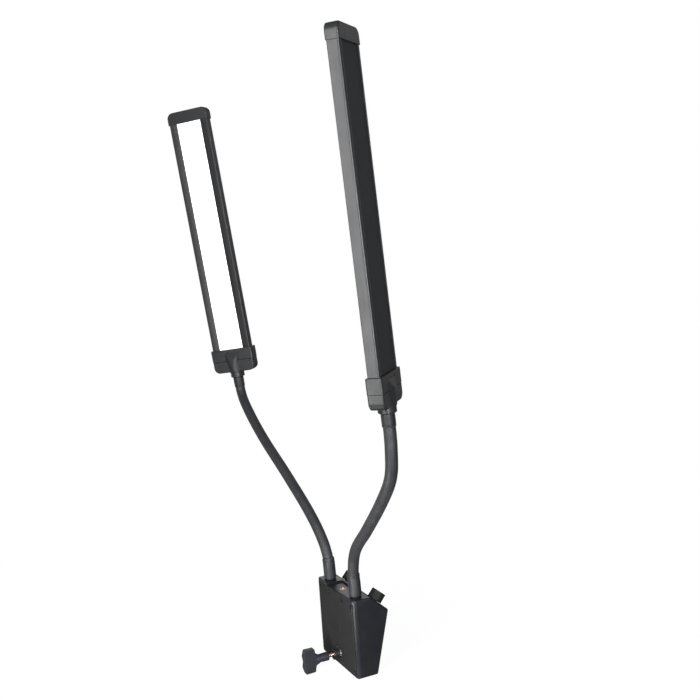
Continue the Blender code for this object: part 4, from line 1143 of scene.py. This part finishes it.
def wire_grid(name):
    """Openwork grille: flat upright wires in a fine pitch, on level wires behind them, in one frame."""
    half = GRILLE_HALF
    (low_y, high_y), (low_z, high_z) = GRILLE_Y, INSET_Z
    upright_pitch, level_pitch = GRILLE_PITCH
    points, faces = [], []

    def bar(low, high):
        start = len(points)
        for z in (low[2], high[2]):
            points.extend([(low[0], low[1], z), (high[0], low[1], z)])
            points.extend([(high[0], high[1], z), (low[0], high[1], z)])
        corners = [(0, 1, 2, 3), (4, 5, 6, 7), (0, 1, 5, 4), (1, 2, 6, 5), (2, 3, 7, 6), (3, 0, 4, 7)]
        faces.extend([tuple(start + i for i in face) for face in corners])

    middle = (low_y + high_y) / 2
    uprights = int(2 * half / upright_pitch)
    for i in range(uprights + 1):
        x = -half + 2 * half * i / uprights
        width = FRAME_WIRE if i in (0, uprights) else upright_pitch * UPRIGHT_WIRE
        bar((max(-half, x - width), middle, low_z), (min(half, x + width), high_y, high_z))
    levels = int((high_z - low_z) / level_pitch)
    for i in range(levels + 1):
        z = low_z + (high_z - low_z) * i / levels
        thick = level_pitch * LEVEL_WIRE
        bar((-half, low_y, max(low_z, z - thick)), (half, middle, min(high_z, z + thick)))
    return new_item(name, points, faces)


def light_head(side):
    """One light bar: extrusion, diffuser, grille, end cap and the two halves of its bracket."""
    place = head_place(side)
    body = f"{side}_head"

    def done(item, look, node):
        finish(item, body, look, f"{side}_{node}", place)

    bar = prism(f"{side}_bar", bar_section(), BAR_LOW, BAR_TOP, "Z")
    done(bar, "bar", "bar_extrusion")

    outline = round_box(DIFFUSER_HALF, *DIFFUSER_Y, 0.0004, 0.0004, 3)
    window = prism(f"{side}_window", outline, *INSET_Z, "Z")
    done(window, "diffuser", "diffuser")
    done(wire_grid(f"{side}_grille"), "grille", "back_grille")

    def cap_outline(inset):
        corner = CORNER_ROUND - inset
        return round_box(CAP_HALF - inset, BAR_LENGTH, CAP_TOP - inset, 0.0002, corner, 8)

    cap = slab(f"{side}_cap", cap_outline, CAP_DEEP, *CAP_ROUNDS)
    cut(cap, bar_room(BAR_LENGTH - PAST, BAR_TOP + GAP))
    done(cap, "caps", "top_cap")

    def upper_outline(inset):
        high = -0.35 * inset
        low = BRACKET_SPLIT + GAP / 2 + 0.12 * inset
        return round_box(BRACKET_HALF - inset, low, high, 0.0004, 0.0010, 5)

    upper = slab(f"{side}_bracket_top", upper_outline, BRACKET_DEEP, *BRACKET_ROUNDS)
    cut(upper, bar_room(BAR_LOW - GAP, PAST), revolve("hub_room", hub_profile(2 * GAP), 64))
    done(upper, "caps", "bracket_upper")

    def lower_outline(inset):
        low, high = BRACKET_LOW + inset, BRACKET_SPLIT - GAP / 2 - 0.12 * inset
        return round_box(BRACKET_HALF - 0.0003 - inset, low, high, CORNER_ROUND - inset, 0.0004, 8)

    lower = slab(f"{side}_bracket_hub", lower_outline, BRACKET_DEEP - 0.0002, *BRACKET_ROUNDS)
    add(lower, revolve("hub", hub_profile(), 72))
    cut(lower, *facets())
    done(lower, "caps", "bracket_lower")


# ---- the whole lamp ----
CAD_LOOKS = {
    "stand_socket": "steel",
    "encoder_left": "boss",
    "encoder_right": "boss",
    "control_board": "board",
    "driver_board": "board",
    "power_jack": "knob",
    "display_window": "display",
    "pressure_pad": "nylon",
    "left_led_board": "led_board",
    "right_led_board": "led_board",
}


def dress_cad():
    """Gives the CAD nodes that stay their materials."""
    for name, node in frame["nodes"].items():
        look = CAD_LOOKS.get(name, "hose" if "neck_" in name else "housing")
        node.data.materials.clear()
        node.data.materials.append(LOOKS[look])


housing()
cover()
screws()
insert()
for side_sign, knob_name in ((-1, "knob_left"), (1, "knob_right")):
    knob(side_sign, knob_name)
lock_boss()
lock_handle()
for side_name in ("left", "right"):
    gooseneck(side_name)
    light_head(side_name)
dress_cad()


# ---- stage, light and camera ----
LOW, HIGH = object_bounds()
CENTRE = (LOW + HIGH) / 2
CAMERA_AZIMUTH = math.radians(64.6)
CAMERA_ELEVATION = math.radians(6.84)
CAMERA_ROLL = math.radians(-3.88)
CAMERA_PLACE = Vector((1.242, -0.554, 0.5845))
CAMERA_LENS = 49.2
ROOM_LIGHT = 0.17
FLOOR_BOUNCE = 0.25
FLOOR_SHADOW = 0.16
FLOOR_FADE = (0.25, 0.9)  # the floor fades to white between these distances from the origin
WARM = (1.0, 0.97, 0.94)
COOL = (0.92, 0.95, 1.0)


def camera():
    """The camera looks along its azimuth and elevation and is turned about its own axis by its roll."""
    a, e, r = CAMERA_AZIMUTH, CAMERA_ELEVATION, CAMERA_ROLL
    back = Vector((math.sin(a) * math.cos(e), -math.cos(a) * math.cos(e), math.sin(e)))
    level = Vector((math.cos(a), math.sin(a), 0))
    steep = back.cross(level)
    right = level * math.cos(r) + steep * math.sin(r)
    up = back.cross(right)
    data = bpy.data.cameras.new("camera")
    data.lens = CAMERA_LENS
    data.sensor_width = 36.0
    item = bpy.data.objects.new("camera", data)
    bpy.context.scene.collection.objects.link(item)
    turn = Matrix((right, up, back)).transposed().to_4x4()
    item.matrix_world = Matrix.Translation(CAMERA_PLACE) @ turn
    bpy.context.scene.camera = item


def mixed_by_camera(tree, unseen, seen):
    """Shader output that camera rays see as seen, and all other rays as unseen."""
    path = add_node(tree, "ShaderNodeLightPath")
    inputs = {0: path.outputs["Is Camera Ray"], 1: unseen, 2: seen}
    return add_node(tree, "ShaderNodeMixShader", inputs).outputs[0]


def floor():
    """A pale floor that fades to white a short way off, with the lamp's soft shadow on it."""
    size, ground = 60.0, LOW.z - 0.0002
    corners = [(-size, -size), (size, -size), (size, size), (-size, size)]
    item = new_item("floor", [(x, y, ground) for x, y in corners], [(0, 1, 2, 3)])
    material = bpy.data.materials.new("floor_white")
    material.use_nodes = True
    tree = material.node_tree
    tree.nodes.clear()
    output = add_node(tree, "ShaderNodeOutputMaterial")
    bounce = add_node(tree, "ShaderNodeBsdfDiffuse", {"Color": (FLOOR_BOUNCE,) * 3 + (1,)}).outputs[0]
    shaded = add_node(tree, "ShaderNodeBsdfDiffuse", {"Color": (FLOOR_SHADOW,) * 3 + (1,)}).outputs[0]
    white = add_node(tree, "ShaderNodeEmission", {"Color": (1, 1, 1, 1), "Strength": 1.0}).outputs[0]
    pale = add_node(tree, "ShaderNodeEmission", {"Color": (1, 1, 1, 1), "Strength": 0.93}).outputs[0]
    near = add_node(tree, "ShaderNodeAddShader", {0: pale, 1: shaded}).outputs[0]
    place = add_node(tree, "ShaderNodeTexCoord").outputs["Object"]
    distance = add_node(tree, "ShaderNodeVectorMath", {0: place}, operation="LENGTH").outputs["Value"]
    start, end = FLOOR_FADE
    fade = add_node(tree, "ShaderNodeMapRange", {0: distance, 1: start, 2: end}).outputs[0]
    seen = add_node(tree, "ShaderNodeMixShader", {0: fade, 1: near, 2: white}).outputs[0]
    tree.links.new(mixed_by_camera(tree, bounce, seen), output.inputs[0])
    item.data.materials.append(material)
    item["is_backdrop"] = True


def soft_box(name, target, way, distance, size, power, colour=(1, 1, 1), glints_only=False):
    """A soft box that looks at target from the direction way. The camera doesn't see it.

    With glints_only it shows in reflections and lights nothing else.
    """
    data = bpy.data.lights.new(name, "AREA")
    data.shape = "RECTANGLE"
    data.size, data.size_y = size
    data.energy = power
    data.color = colour
    item = bpy.data.objects.new(name, data)
    bpy.context.scene.collection.objects.link(item)
    item.visible_camera = False
    item.visible_diffuse = not glints_only
    way = Vector(way).normalized()
    item.location = Vector(target) + way * distance
    item.rotation_mode = "QUATERNION"
    item.rotation_quaternion = way.to_track_quat("Z", "Y")


def world():
    """White behind the lamp, and a dimmer room that lights it."""
    made = bpy.data.worlds.new("studio")
    bpy.context.scene.world = made
    made.use_nodes = True
    tree = made.node_tree
    tree.nodes.clear()
    output = add_node(tree, "ShaderNodeOutputWorld")
    room = {"Color": (0.93, 0.96, 1, 1), "Strength": ROOM_LIGHT}
    felt = add_node(tree, "ShaderNodeBackground", room).outputs[0]
    seen = add_node(tree, "ShaderNodeBackground", {"Color": (1, 1, 1, 1), "Strength": 1.0}).outputs[0]
    tree.links.new(mixed_by_camera(tree, felt, seen), output.inputs[0])


RIGHT_BAR = sum(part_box("right_bar_extrusion"), Vector()) / 2
LEFT_BAR = sum(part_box("left_bar_extrusion"), Vector()) / 2

camera()
floor()
world()
# most lights stand where one face that the camera sees mirrors them
soft_box("key", RIGHT_BAR, (0.41, -0.90, -0.03), 0.95, (0.32, 1.15), 9.5)
soft_box("left_key", LEFT_BAR - Vector((0, 0, 0.15)), (0.40, -0.915, 0.0), 1.0, (0.06, 1.1), 0.3)
soft_box("low_key", (0.06, -0.02, 0.012), (0.40, -0.915, 0.0), 0.32, (0.04, 0.11), 1.0)
soft_box("left_fill", CENTRE, (-0.87, -0.40, -0.30), 1.7, (0.9, 1.2), 4.2, WARM)
soft_box("back_fill", RIGHT_BAR, (-0.41, 0.90, 0.05), 1.5, (1.0, 1.3), 0.7, WARM)
soft_box("top", (0, 0, 0.07), (-0.84, 0.38, 0.38), 1.5, (0.8, 0.8), 2.4)
soft_box("rim", RIGHT_BAR, (0.965, -0.26, 0.02), 1.5, (0.05, 1.1), 16, COOL)
soft_box("glint", RIGHT_BAR, (0.985, -0.17, 0.02), 1.5, (0.05, 1.1), 14, COOL, glints_only=True)
bpy.context.scene.view_settings.view_transform = "Standard"
